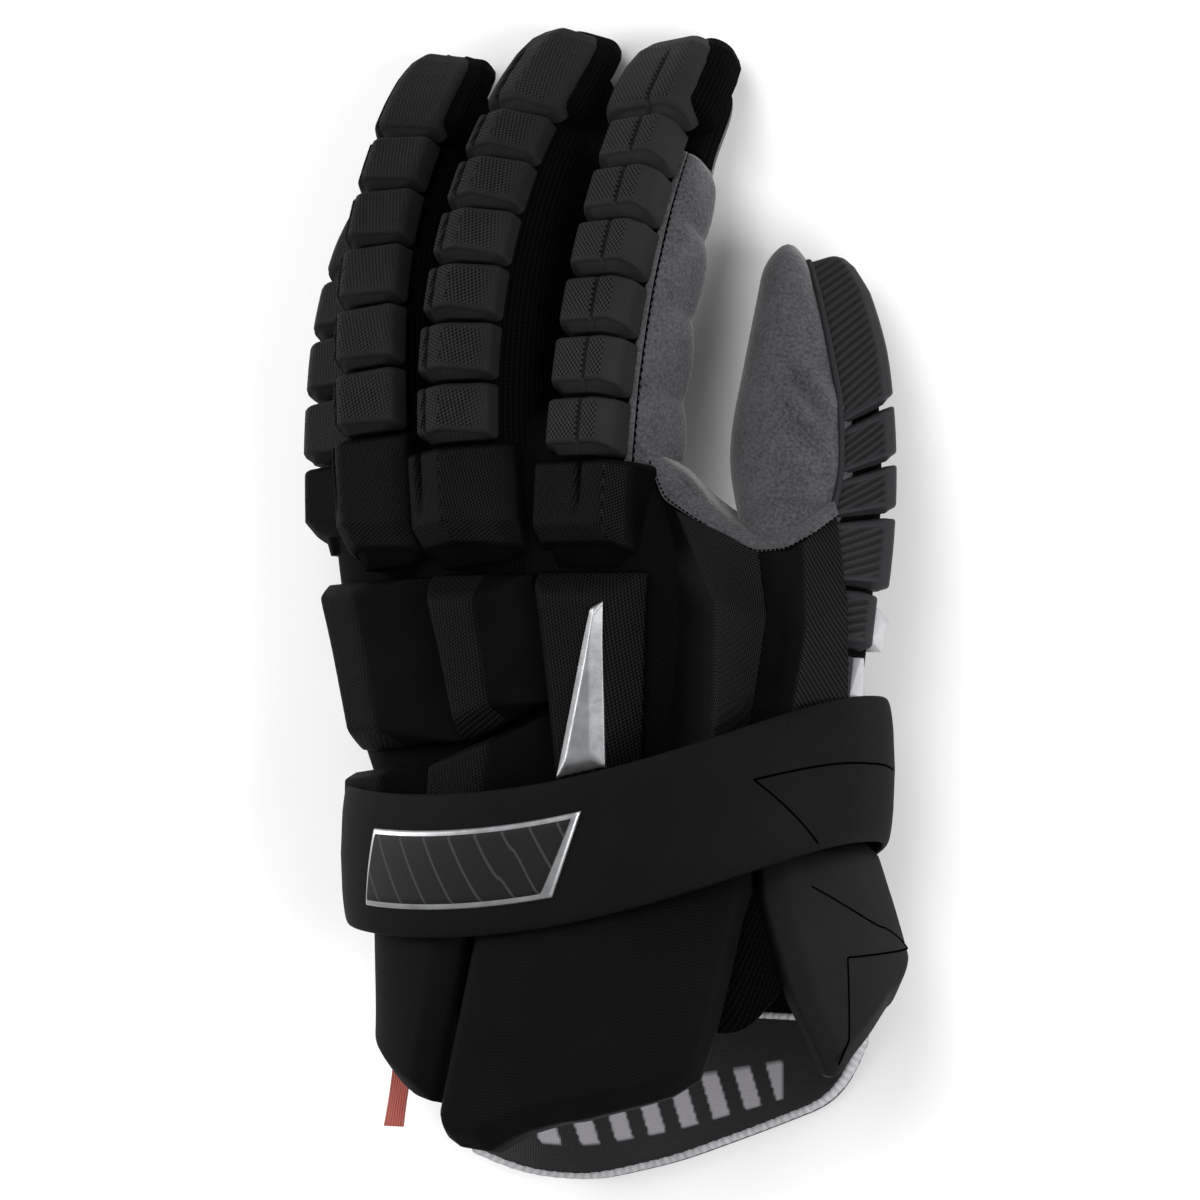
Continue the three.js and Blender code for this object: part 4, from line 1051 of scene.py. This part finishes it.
class GLOVE_OT_finger_sides(bpy.types.Operator):
    """Makes the knit sides and the suede undersides of the four fingers, with the index finger's bound
    and sewn edge"""
    bl_idname = "glove.finger_sides"
    bl_label = "Finger Sides"

    def execute(self, context):
        for name in PADS:
            # The index finger's band needs closely spaced columns
            columns = 110 if name == "index" else 48
            crest, at, back, front = digit_strips(name, -0.2, 96, columns)
            share = strip_share(columns)
            # The knit between index and middle finger is slack, and the index finger's tip is slimmer
            loose_left, loose_right = PADS[name]["slack"]
            slim = 0.5 * loose_left * smooth_step(at, 0.5, 0.8)[:, None]
            fading = (1 - smooth_step(at, 0.7, 0.84))[:, None]
            grow = loose_left * smooth_step(share, 0.35, 0.7)
            grow = grow + loose_right * (1 - smooth_step(share, 0.2, 0.5))
            grow = grow[None, :] * fading - slim
            knit = stall_point(crest, at[:, None], back, FINGER_PAD, grow)
            made = thicken(grid_object(f"{name}_knit", knit, find_material("knit")), KNIT_WALL)
            finish_piece(made, [f"{name}_stall"])
            # The suede puffs out between its cross seams, and a narrow folded band runs beside the pads
            seams = np.sin(math.pi * (at - PUFF_FROM) / PUFF_PITCH)
            puff = PUFF_HEIGHT * np.abs(seams) ** 0.55 - 0.6
            puff = puff * smooth_step(at, 0.0, 0.12) * (1 - smooth_step(at, 0.7, 0.75))
            swell = puff[:, None] * (np.sin(math.pi * share) ** 0.7 * smooth_step(share, 0.3, 0.6))[None, :]
            if name == "index":
                band = smooth_step(share, 0.938, 0.946) - 0.8 * smooth_step(share, 0.985, 1.0)
                valley = np.exp(-((share - 0.934) / 0.006) ** 2)
                reach = (1 - smooth_step(at, 0.72, 0.735))[:, None]
                swell = swell + (1.4 * band - 1.1 * valley)[None, :] * reach
            else:
                swell = 0.3 * swell
            edges = loose_left * (1 - smooth_step(share, 0.0, 0.3))
            edges = edges + loose_right * smooth_step(share, 0.7, 1.0)
            swell = swell + edges[None, :] * fading - slim
            suede = stall_point(crest, at[:, None], front, FINGER_PAD, swell)
            made = thicken(grid_object(f"{name}_suede", suede, find_material("suede")), SUEDE_WALL)
            finish_piece(made, ["palm_suede"])
            if name == "index":
                column = int(np.searchsorted(share, 0.925))
                rows = (at > 0.03) & (at < 0.73)
                made = stitched("index_stitches", suede[rows, column], 2.2, 0.55)
                finish_piece(made)
        return {"FINISHED"}


class GLOVE_OT_hand(bpy.types.Operator):
    """Makes the cloth back of the hand and the suede palm, which close round the roots of the fingers"""
    bl_idname = "glove.hand"
    bl_label = "Hand"

    def execute(self, context):
        front, back = HAND_SECTIONS[0][0] * LENGTH, HAND_SECTIONS[-1][0] * LENGTH
        bulge = np.sin(np.linspace(math.pi / 2, 0, 10, endpoint=False))
        rows, reach = 90, 6
        y = np.concatenate([front + reach * bulge, np.linspace(front, back - reach, rows)])
        shrink = np.concatenate([np.sqrt(np.maximum(1 - bulge ** 2, 0)), np.ones(rows)])
        share = np.linspace(0, 1, 60)
        base = section_point(HAND_TABLE, share[None, :] * math.pi, y[:, None], 0.0, shrink[:, None])
        made = thicken(grid_object("hand_back_cloth", base, find_material("hidden"), grain_and_shade=0.35), WALL)
        finish_piece(made, ["hand_base"])
        palm = section_point(HAND_TABLE, math.pi + share[None, :] * math.pi, y[:, None], 0.0, shrink[:, None])
        made = thicken(grid_object("palm_suede_skin", palm, find_material("suede")), WALL)
        finish_piece(made, ["palm_suede"])
        return {"FINISHED"}


# Thumb

def creased_tube(rows, creases):
    """A closed tube of elliptic sections in the photograph's axes, with round ends. A crease is a valley
    of Gaussian shape along its line, with a lower roll of cloth beside it, and fades out at both
    ends."""
    rows = np.array(rows, float)
    share = np.linspace(0, 1, 120)
    eased = share + np.sin(2 * math.pi * share) * -0.06
    up = rows[0, 0] + (rows[-1, 0] - rows[0, 0]) * eased
    left, right, middle, half = (np.interp(-up, -rows[:, 0], rows[:, i]) for i in range(1, 5))
    left, right, middle, half = (moving_mean(line, 5) for line in (left, right, middle, half))
    closing = np.clip(1 - (up[0] - up) / 9.0, 0, 1)
    size = np.sqrt(np.maximum(1 - closing ** 2.4, 0)) * np.sqrt(np.clip((share.max() - share) / 0.02, 0, 1))
    angle = np.linspace(0, 2 * math.pi, 120, endpoint=False)
    across = ((left + right) / 2)[:, None] + np.outer((right - left) / 2 * size, np.cos(angle))
    toward = middle[:, None] + np.outer(half * size, rounded(np.sin(angle), 2.3))
    height = np.repeat(up[:, None], len(angle), axis=1)
    facing = smooth_step(np.sin(angle), -0.2, 0.5)[None, :]
    for first, last, width, depth in creases:
        first, last = np.array(first), np.array(last)
        step = last - first
        length = np.linalg.norm(step)
        to_right, to_top = across - first[0], height - first[1]
        along = (to_right * step[0] + to_top * step[1]) / length ** 2
        aside = (to_right * step[1] - to_top * step[0]) / length
        fade = window(along, -0.1, 0.3, 0.75, 1.1) * facing
        valley = np.exp(-(aside / width) ** 2) - 0.6 * np.exp(-((aside + 2.2 * width) / (1.5 * width)) ** 2)
        toward = toward - depth * valley * fade
    return from_view(np.stack([across, height, toward], -1))


class GLOVE_OT_thumb(bpy.types.Operator):
    """Makes the thumb's suede and knit, its ribbed guard blocks and its white plates"""
    bl_idname = "glove.thumb"
    bl_label = "Thumb"

    def execute(self, context):
        sizes = context.scene.glove_sizes
        crest, at, back, _ = digit_strips("thumb", 0.0, 64, 50)
        knit = stall_point(crest, at[:, None], back, THUMB_PAD)
        made = thicken(grid_object("thumb_knit", knit, find_material("knit")), KNIT_WALL)
        finish_piece(made, ["thumb_stall"])
        skin = creased_tube(THUMB_SUEDE, THUMB_CREASES)
        suede = grid_object("thumb_suede_skin", skin, find_material("suede"), around=True)
        line = from_view(along_line(THUMB_SEAM, np.linspace(0, 1, 160)))
        seam = rolled_edge("thumb_seam", line, 0.9, 0.9, find_material("guard"), sides=12)
        finish_piece(seam)
        finish_piece(suede, ["thumb_suede"])
        width = crest.digit["pad"] * WIDTH
        space = PAD_SPACE / crest.length
        faces = {"outline": THUMB_OUTLINE, "groove": 0.5, "ridge": 0.62}
        # The blocks are sewn onto a backing, which closes the gaps between them
        backing = PAD_LOOK | {
            "groove_depth": 0.0, "rows": 60, "points": 60, "corner": 2.5, "edge": 2.5, "sink": 5.0,
        }
        made = padded_block("thumb_backing", crest, 0.1, 0.97, -0.22 * width, 0.44 * width, THUMB_PAD - 5.0,
                            faces, find_material("hidden"), backing)
        finish_piece(made)
        look = PAD_LOOK | {
            "groove_depth": 0.0, "rib": sizes.rib_height, "rib_pitch": sizes.rib_pitch, "rib_slant": 0.45,
            "wrist_slope": 1.4, "tip_slope": 0.4, "edge": 1.0, "rows": 50, "points": 90,
        }
        for name, start, stop, inner, outer, low, high in THUMB_BLOCKS:
            made = padded_block(f"{name}_cover", crest, start, stop - space, inner * width, outer * width,
                                THUMB_PAD, faces, find_material("guard"), look | {"climb": (low, high)})
            finish_piece(made, [name])
        tip = look | {
            "rows": 110, "swell_at": [0, 0.3, 0.7, 0.9, 1], "swell_width": [1, 1, 0.96, 0.84, 0.74],
            "swell_rise": [1, 1, 0.95, 0.84, 0.7], "climb": (0.62, 0.0),
        }
        made = padded_block("thumb_tip_guard_cover", crest, THUMB_TIP_FROM, 1.0, -0.25 * width, width / 2,
                            THUMB_PAD, faces, find_material("guard"), tip)
        finish_piece(made, ["thumb_tip_guard"])
        for name, corners in WHITE_PLATES.items():
            s, t = edge_marks(24), edge_marks(30)
            spots = four_sided([corners[0], corners[3]], [corners[1], corners[2]], corners[:2],
                               [corners[3], corners[2]], s, t)
            flat = crest.place(spots[..., 0], spots[..., 1], -THUMB_PAD)
            rise = mitred(flat, [(0.88, 2.2)] * 4, THUMB_PAD - 1.0)
            top = crest.place(spots[..., 0], spots[..., 1], rise - THUMB_PAD)
            made = closed_patch(f"{name}_cover", top, flat, find_material("white"))
            finish_piece(made, [name])
        return {"FINISHED"}


# Back of the hand

def skin_block(name, corners, sides, height, base, material, plain_slope_painted_shade=False):
    """A padding on the hand's skin: its corners span a four-sided patch seen from above, which the skin
    carries, and its top stands out by the mitred rise. Where its right slope is plain, the raised weave
    stops at that slope, and the block finish paints that slope darker as painted shade."""
    grain_and_shade = 1.0
    points = np.array(corners, float) * [WIDTH, LENGTH] + [MIDDLE_SHIFT, 0]
    s, t = edge_marks(50), edge_marks(50)
    flat = four_sided([points[0], points[3]], [points[1], points[2]], [points[0], points[1]],
                      [points[3], points[2]], s, t)
    angle = angle_over(HAND_TABLE, flat[..., 0], flat[..., 1])
    skin = section_point(HAND_TABLE, angle, flat[..., 1], base)
    rise = mitred(skin, sides, height - base)
    top = section_point(HAND_TABLE, angle, flat[..., 1], base + rise)
    pattern = np.stack([flat[..., 0], flat[..., 1]], -1)
    # The right slope gets the plain weave, whose dark level in the block finish is painted shade
    if plain_slope_painted_shade:
        across = lengths_along(skin, 1, False)
        grain_and_shade = smooth_step(across[:, -1:] - across, sides[1][1] - 0.8, sides[1][1])
    return closed_patch(name, top, skin, material, grain_and_shade=grain_and_shade, pattern=pattern)


class GLOVE_OT_back_blocks(bpy.types.Operator):
    """Makes the foam blocks on the back of the hand and the bare silver plate on one of them"""
    bl_idname = "glove.back_blocks"
    bl_label = "Back Blocks"

    def execute(self, context):
        for name, (corners, sides) in BACK_BLOCKS.items():
            made = skin_block(f"{name}_cover", corners, sides, BLOCK_HEIGHT, GAP, find_material("block"),
                              plain_slope_painted_shade=name != "index_back_block")
            finish_piece(made, [name])
        made = skin_block("badge_plate_cover", BADGE_PLATE, BADGE_SIDES, BLOCK_HEIGHT + GAP + 2.0,
                          BLOCK_HEIGHT - 0.4, find_material("silver"))
        finish_piece(made, ["badge_plate"])
        return {"FINISHED"}


# Nets of the thumb saddle and of the web between index finger and thumb, in the photograph's axes: mm to
# the right, mm up the picture and mm toward the viewer. The saddle's columns are its left side, a ridge,
# the valley, a second ridge and its right side; its rows are its front, its knees, its middle and the
# end under the strap.
SADDLE_NET = [
    [(14.0, 27.5, 31), (20.0, 23.5, 40), (41.5, 13.0, 45), (53.5, 15.5, 53), (61.5, 25.0, 47)],
    [(14.5, -1.0, 35), (30.5, -1.0, 57), (43.5, -4.3, 48.5), (53.7, -6.8, 61), (64.5, -1.6, 55)],
    [(14.5, -27.0, 37), (30.0, -27.0, 60), (40.0, -27.0, 52), (50.5, -27.0, 61.5), (64.5, -27.0, 55)],
    [(14.5, -54.0, 42), (28.6, -51.3, 60), (36.5, -51.3, 56), (48.0, -51.3, 60), (63.5, -45.9, 54)],
]
WEB_NET = [
    [(15.5, 40.0, 23), (24.5, 34.5, 20), (30.5, 28.0, 24), (35.5, 24.0, 28), (41.0, 20.5, 34),
     (48.0, 21.0, 40), (54.0, 24.0, 44), (60.5, 27.0, 44)],
    [(15.0, 39.0, 27), (24.0, 33.0, 31), (29.8, 25.5, 35), (35.0, 20.5, 38), (41.0, 17.5, 43),
     (48.5, 17.5, 49), (55.0, 20.5, 52), (61.5, 25.0, 50)],
    [(14.0, 38.0, 29), (20.5, 29.0, 37), (26.5, 22.5, 41), (33.0, 17.5, 43), (41.0, 14.5, 47),
     (48.5, 14.5, 52), (55.5, 18.0, 54), (62.0, 23.0, 51)],
    [(12.9, 36.7, 31), (16.5, 26.7, 36), (22.7, 22.5, 41), (32.9, 16.0, 42), (41.0, 12.6, 45),
     (48.3, 13.2, 51), (55.6, 17.2, 53), (62.2, 22.0, 50)],
]


class GLOVE_OT_saddle(bpy.types.Operator):
    """Makes the folded twill padding between the index finger and the thumb, and the suede web in front
    of it"""
    bl_idname = "glove.saddle"
    bl_label = "Thumb Saddle"

    def execute(self, context):
        inward = np.array([0.0, 0.0, -8.0])
        rows, cols = 112, 66
        for name, first, last in (("saddle_pad_inner", 0, 3), ("saddle_pad_outer", 2, 5)):
            net = np.array([row[first:last] for row in SADDLE_NET], float)
            top = net_surface(net, rows, cols, 2)
            under = net_surface(net + inward, rows, cols, 2)
            # The side that faces the fingers has the plain weave, painted darker as painted shade
            grain_and_shade = np.tile(smooth_step(np.linspace(0, 1, cols), 0.44, 0.5), (rows, 1))
            made = closed_patch(f"{name}_cover", top, under, find_material("saddle"), grain_and_shade=grain_and_shade)
            finish_piece(made, [name])
        net = np.array(WEB_NET, float)
        top = net_surface(net, 40, 120, 14)
        under = net_surface(net + inward / 2, 40, 120, 14)
        made = closed_patch("web_suede", top, under, find_material("suede"))
        finish_piece(made, ["palm_suede"])
        made = stitched("web_stitches", top[-3], 1.4, 0.28)
        finish_piece(made)
        return {"FINISHED"}


# Cuff

def strap_point(angle, across, lift):
    """A point of the strap's loop: the squared-off ellipse round the wrist, whose place along Y climbs
    with the square of its distance from the lowest point."""
    angle, across, lift = np.broadcast_arrays(np.asarray(angle, float), across, lift)
    top = STRAP["seat"] * HEIGHT + PLATE_HEIGHT + 2 * GAP + STRAP_THICKNESS
    reach = STRAP["half"] * WIDTH - STRAP_THICKNESS + lift
    x = STRAP["middle"] * WIDTH + reach * rounded(np.cos(angle), STRAP_ROUNDNESS)
    z = top / 2 + (top / 2 - STRAP_THICKNESS + lift) * rounded(np.sin(angle), STRAP_ROUNDNESS)
    climb = STRAP["climb"] * ((x - STRAP["lowest"] * WIDTH) / WIDTH) ** 2
    return np.stack([x + MIDDLE_SHIFT, (STRAP["at"] + climb) * LENGTH + across, np.maximum(z, 0)], -1)


def strap_fullness(across):
    """The share of its thickness that the strap keeps, all of it in the middle."""
    return 0.72 + 0.28 * np.cos(across / STRAP_WIDTH * math.pi)


def strap_crown(across):
    """How far the strap's outer face stands out, in mm."""
    return STRAP_THICKNESS * strap_fullness(across)


class GLOVE_OT_strap(bpy.types.Operator):
    """Makes the padded strap round the wrist, the seam of its sewn-on flap and a hatched panel in a silver
    frame
    """
    bl_idname = "glove.strap"
    bl_label = "Wrist Strap"

    def execute(self, context):
        around = np.linspace(0, 2 * math.pi, 220, endpoint=False)
        turn = np.linspace(0, 2 * math.pi, 56, endpoint=False)
        across = STRAP_WIDTH / 2 * rounded(np.cos(turn), 7)
        # A stuffed strap: fullest in the middle, thin at its rolled edges
        crown = STRAP_THICKNESS / 2 * (1 + rounded(np.sin(turn), 3.2))
        lift = crown * strap_fullness(across)
        points = strap_point(around[:, None], across[None, :], lift[None, :])
        made = grid_object("wrist_strap_cover", points, find_material("strap"), around=True, looped=True)
        finish_piece(made, ["wrist_strap"])
        seam = along_line(STRAP_SEAM, np.linspace(0, 1, 200))
        line = strap_point(np.radians(seam[:, 0]), seam[:, 1], strap_crown(seam[:, 1]) - 0.1)
        made = rolled_edge("strap_seam", line, 0.3, 0.3, find_material("thread"), sides=8)
        finish_piece(made)
        # The frame shows 1.3 mm wide round the print, and both lie on the strap's outer face
        for name, inset, low, high, key, slot in (
            ("strap_panel_frame", 0.0, -1.0, 0.7, "silver", "silver"),
            ("strap_panel_print", 1.3, 0.0, 1.1, "print", "strap_cloth"),
        ):
            turn = inset * 0.85
            corners = np.array(STRAP_PANEL) + [[-turn, -inset], [turn, -inset], [turn, inset], [-turn, inset]]
            s, t = edge_marks(70), edge_marks(30)
            spots = four_sided(corners[[0, 3]], corners[[1, 2]], corners[:2], corners[[3, 2]], s, t)
            angle, across = np.radians(spots[..., 0]), spots[..., 1]
            base = strap_point(angle, across, strap_crown(across) + low)
            top = strap_point(angle, across, strap_crown(across) + mitred(base, [(0.6, 0.8)] * 4, high))
            made = closed_patch(name, top, base, find_material(key))
            finish_piece(made)
        return {"FINISHED"}


class GLOVE_OT_cuff(bpy.types.Operator):
    """Makes the mesh sleeve of the wrist and the three foam plates over it"""
    bl_idname = "glove.cuff"
    bl_label = "Cuff"

    def execute(self, context):
        angle = np.linspace(0, 2 * math.pi, 160, endpoint=False)
        end = -0.352 + 0.055 * smooth_step(np.cos(angle), 0.55, 0.95)
        y = (SLEEVE_FROM + (end[None, :] - SLEEVE_FROM) * np.linspace(0, 1, 60)[:, None]) * LENGTH
        sleeve = section_point(CUFF_TABLE, angle[None, :] + 0 * y, y, 0.0)
        made = thicken(grid_object("wrist_sleeve_mesh", sleeve, find_material("mesh"), around=True), WALL)
        finish_piece(made, ["wrist_sleeve"])
        for name, lines in CUFF_PLATES.items():
            s, t = edge_marks(60), edge_marks(60)
            front = [lines["left"][0], lines["right"][0]]
            flat = four_sided(lines["left"], lines["right"], front, lines["back"], s, t)
            angle, y = np.radians(flat[..., 0]), flat[..., 1] * LENGTH
            under = section_point(CUFF_TABLE, angle, y, GAP)
            rise = mitred(under, [(0.45, 5), (0.45, 5), (0.5, 4), (0.45, 6)], PLATE_HEIGHT)
            top = section_point(CUFF_TABLE, angle, y, GAP + rise)
            cloth = find_material("side_plate" if name == "cuff_plate_right" else "plate")
            made = closed_patch(f"{name}_cover", top, under, cloth)
            finish_piece(made, [name])
        seam = along_line(PLATE_SEAM, np.linspace(0, 1, 240))
        sunk = GAP + PLATE_HEIGHT - 0.1
        line = section_point(CUFF_TABLE, np.radians(seam[:, 0]), seam[:, 1] * LENGTH, sunk)
        made = rolled_edge("plate_seam", line, 0.3, 0.3, find_material("thread"), sides=8)
        finish_piece(made)
        return {"FINISHED"}


class GLOVE_OT_palm_cuff(bpy.types.Operator):
    """Makes the palm side of the cuff with its lining and silver binding"""
    bl_idname = "glove.palm_cuff"
    bl_label = "Palm Cuff"

    def execute(self, context):
        rows = np.array(PANEL_SECTIONS, float)
        x = np.linspace(rows[0, 0], rows[-1, 0], 160)
        start, end, lift = (moving_mean(np.interp(x, rows[:, 0], rows[:, i]), 10) for i in (1, 2, 3))
        t = edge_marks(60)
        flat_y = start[:, None] + (end - start)[:, None] * t[None, :]
        flat_x = np.repeat(x[:, None], len(t), 1)
        low = np.maximum(lift, 0)[:, None] * HEIGHT + 0 * flat_y
        base = np.stack([flat_x * WIDTH + MIDDLE_SHIFT, flat_y * LENGTH, low], -1)
        rise = mitred(base, [(0.6, 2.5)] * 4, PANEL_THICKNESS)
        top = base + rise[..., None] * np.array([0, 0, 1])
        bars = np.sin(2 * math.pi * (flat_x * WIDTH + flat_y * LENGTH * BAR_SLANT) / BAR_PITCH)
        band = window(t, 0.5, 0.52, 0.8, 0.82)
        span = window(x, -0.14, -0.13, 0.5, 0.51)
        grain_and_shade = smooth_step(bars, -0.1, 0.1) * np.outer(span, band)
        made = closed_patch("palm_cuff_lining", top, base, find_material("liner"), grain_and_shade=grain_and_shade)
        finish_piece(made, ["palm_cuff_panel"])
        fine = np.linspace(x[0], x[-1], 400)
        # The binding is gathered, so its roll swells and shrinks every few mm
        gather = 1 + 0.04 * np.sin(fine * WIDTH * 1.7) + 0.03 * np.sin(fine * WIDTH * 4.1)
        for name, edge, shift, raised, high, wide in (
            ("cuff_binding_roll", end, 1.5, 0.0, 2.2, 1.3), ("lining_ribbon", start, -5.0, 2.2, 1.1, 1.0),
        ):
            line = np.stack([x * WIDTH + MIDDLE_SHIFT, edge * LENGTH + shift,
                             low[:, 0] + PANEL_THICKNESS / 2 + raised], -1)
            line = columns_at(fine, x, line)
            made = rolled_edge(name, line, high, wide, find_material("silver_cloth"), size=gather)
            finish_piece(made, ["cuff_binding"])
        return {"FINISHED"}


class GLOVE_OT_tab(bpy.types.Operator):
    """Makes the small red tab sewn into the edge of the cuff"""
    bl_idname = "glove.tab"
    bl_label = "Red Tab"

    def execute(self, context):
        low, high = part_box("size_tab")
        low, high = np.array(low) * 1000, np.array(high) * 1000
        s, t = edge_marks(12), edge_marks(20)
        x = low[0] - 1.0 + (high[0] - low[0]) * s[None, :] - 3.0 * t[:, None]
        y = high[1] + 5.0 + (low[1] - high[1] - 6.0) * t[:, None] + 0 * s[None, :]
        curl = 0.8 * np.sin(math.pi * t)[:, None] * (s[None, :] - 0.5)
        z = (low[2] + high[2]) / 2 + curl
        flat = np.stack([x, y, z - 0.4], -1)
        top = np.stack([x, y, z + 0.4], -1)
        made = closed_patch("size_tab_cloth", top, flat, find_material("red"))
        finish_piece(made, ["size_tab"])
        return {"FINISHED"}


# Stage

class GLOVE_OT_stage(bpy.types.Operator):
    """Makes the pale floor, the soft lights and the camera at the photograph's angle"""
    bl_idname = "glove.stage"
    bl_label = "Stage"

    def execute(self, context):
        scene = context.scene
        light = scene.glove_light
        scene.view_settings.view_transform = "Standard"
        tilt = math.radians(VIEW_TILT)
        away = np.array([math.sin(tilt), 0.0, math.cos(tilt)])
        camera_data = bpy.data.cameras.new("camera")
        camera_data.sensor_width = SENSOR_WIDTH
        camera_data.lens = SENSOR_WIDTH * VIEW_DISTANCE / VIEW_WIDTH
        camera_data.clip_end = 20.0
        camera = bpy.data.objects.new("camera", camera_data)
        camera.location = np.array(VIEW_TARGET) + away * VIEW_DISTANCE
        camera.rotation_euler = (0.0, tilt, 0.0)
        scene.collection.objects.link(camera)
        scene.camera = camera
        world = bpy.data.worlds.new("studio")
        world.use_nodes = True
        world.node_tree.nodes["Background"].inputs[0].default_value = (1.0, 1.0, 1.0, 1.0)
        world.node_tree.nodes["Background"].inputs[1].default_value = light.sky
        scene.world = world
        for name, power, size, place in (
            ("front_light", light.key, 0.9, (0.25, 0.75, 1.5)),
            ("thumb_side_light", light.side, 0.8, (1.3, -0.35, 0.9)),
            ("finger_side_light", light.far, 0.8, (-1.3, 0.3, 0.6)),
        ):
            data = bpy.data.lights.new(name, "AREA")
            data.energy = power
            data.size = size
            lamp = bpy.data.objects.new(name, data)
            lamp.location = place
            spot = np.array(place) - [0.0, 0.0, VIEW_TARGET[2]]
            lamp.rotation_euler = (math.atan2(math.hypot(spot[0], spot[1]), spot[2]), 0.0,
                                   math.atan2(spot[1], spot[0]) + math.pi / 2)
            scene.collection.objects.link(lamp)
        material, tree, shader = new_material("floor_paper", 0.9, specular=0.0)
        shade = spread(tree, cloud(tree, 400), 0.3, 0.7)
        tree.links.new(mixed(tree, shade, opaque(linear("#f6f6f6")), opaque(linear("#fafafa"))),
                       shader.inputs["Base Color"])
        side = np.linspace(-4000, 4000, 9)
        flat = np.stack([*np.meshgrid(side, side), np.full((9, 9), -0.2)], -1)
        floor = grid_object("floor", flat, material)
        return {"FINISHED"}


# Settings, panel and start

class GLOVE_PG_sizes(bpy.types.PropertyGroup):
    """Sizes of the finish, in millimetres"""
    groove_depth: bpy.props.FloatProperty(
        name="Groove Depth", description="How deep the groove along each pad is, in mm", default=2.2, min=0)
    pad_edge: bpy.props.FloatProperty(
        name="Pad Edge", description="Radius of the finger pads' end edges, in mm", default=1.6, min=0.2)
    rib_height: bpy.props.FloatProperty(
        name="Rib Height", description="Half the height of the thumb guard's ribs in mm", default=0.28, min=0)
    rib_pitch: bpy.props.FloatProperty(
        name="Rib Pitch", description="Distance between ribs on the thumb guard, in mm", default=2.6, min=1)


class GLOVE_PG_light(bpy.types.PropertyGroup):
    """Strength of the stage's lights"""
    sky: bpy.props.FloatProperty(
        name="Sky", description="Strength of the white surroundings", default=0.5, min=0)
    key: bpy.props.FloatProperty(
        name="Front Light", description="Power of the light over the fingertips, in W", default=12, min=0)
    side: bpy.props.FloatProperty(
        name="Side Light", description="Power of the light on the thumb side, in W", default=22, min=0)
    far: bpy.props.FloatProperty(
        name="Far Light", description="Power of the little finger side's light, in W", default=11, min=0)


STEPS = (
    GLOVE_OT_stage,
    GLOVE_OT_finger_pads,
    GLOVE_OT_knuckles,
    GLOVE_OT_finger_sides,
    GLOVE_OT_hand,
    GLOVE_OT_thumb,
    GLOVE_OT_back_blocks,
    GLOVE_OT_saddle,
    GLOVE_OT_strap,
    GLOVE_OT_cuff,
    GLOVE_OT_palm_cuff,
    GLOVE_OT_tab,
)


class GLOVE_PT_panel(bpy.types.Panel):
    """Lists the glove's settings and steps in the sidebar"""
    bl_idname = "GLOVE_PT_panel"
    bl_label = "Lacrosse Glove"
    bl_space_type = "VIEW_3D"
    bl_region_type = "UI"
    bl_category = "Glove"

    def draw(self, context):
        for settings in (context.scene.glove_sizes, context.scene.glove_light):
            for key in settings.bl_rna.properties.keys():
                if key not in ("rna_type", "name"):
                    self.layout.prop(settings, key)
        for step in STEPS:
            self.layout.operator(step.bl_idname)


CLASSES = (GLOVE_PG_sizes, GLOVE_PG_light, *STEPS, GLOVE_PT_panel)


def register():
    for made in CLASSES:
        bpy.utils.register_class(made)
    bpy.types.Scene.glove_sizes = bpy.props.PointerProperty(type=GLOVE_PG_sizes)
    bpy.types.Scene.glove_light = bpy.props.PointerProperty(type=GLOVE_PG_light)


def unregister():
    del bpy.types.Scene.glove_light
    del bpy.types.Scene.glove_sizes
    for made in reversed(CLASSES):
        bpy.utils.unregister_class(made)


def main():
    """Runs every step."""
    register()
    for step in STEPS:
        group, action = step.bl_idname.split(".")
        getattr(getattr(bpy.ops, group), action)()


if __name__ == "__main__":
    main()
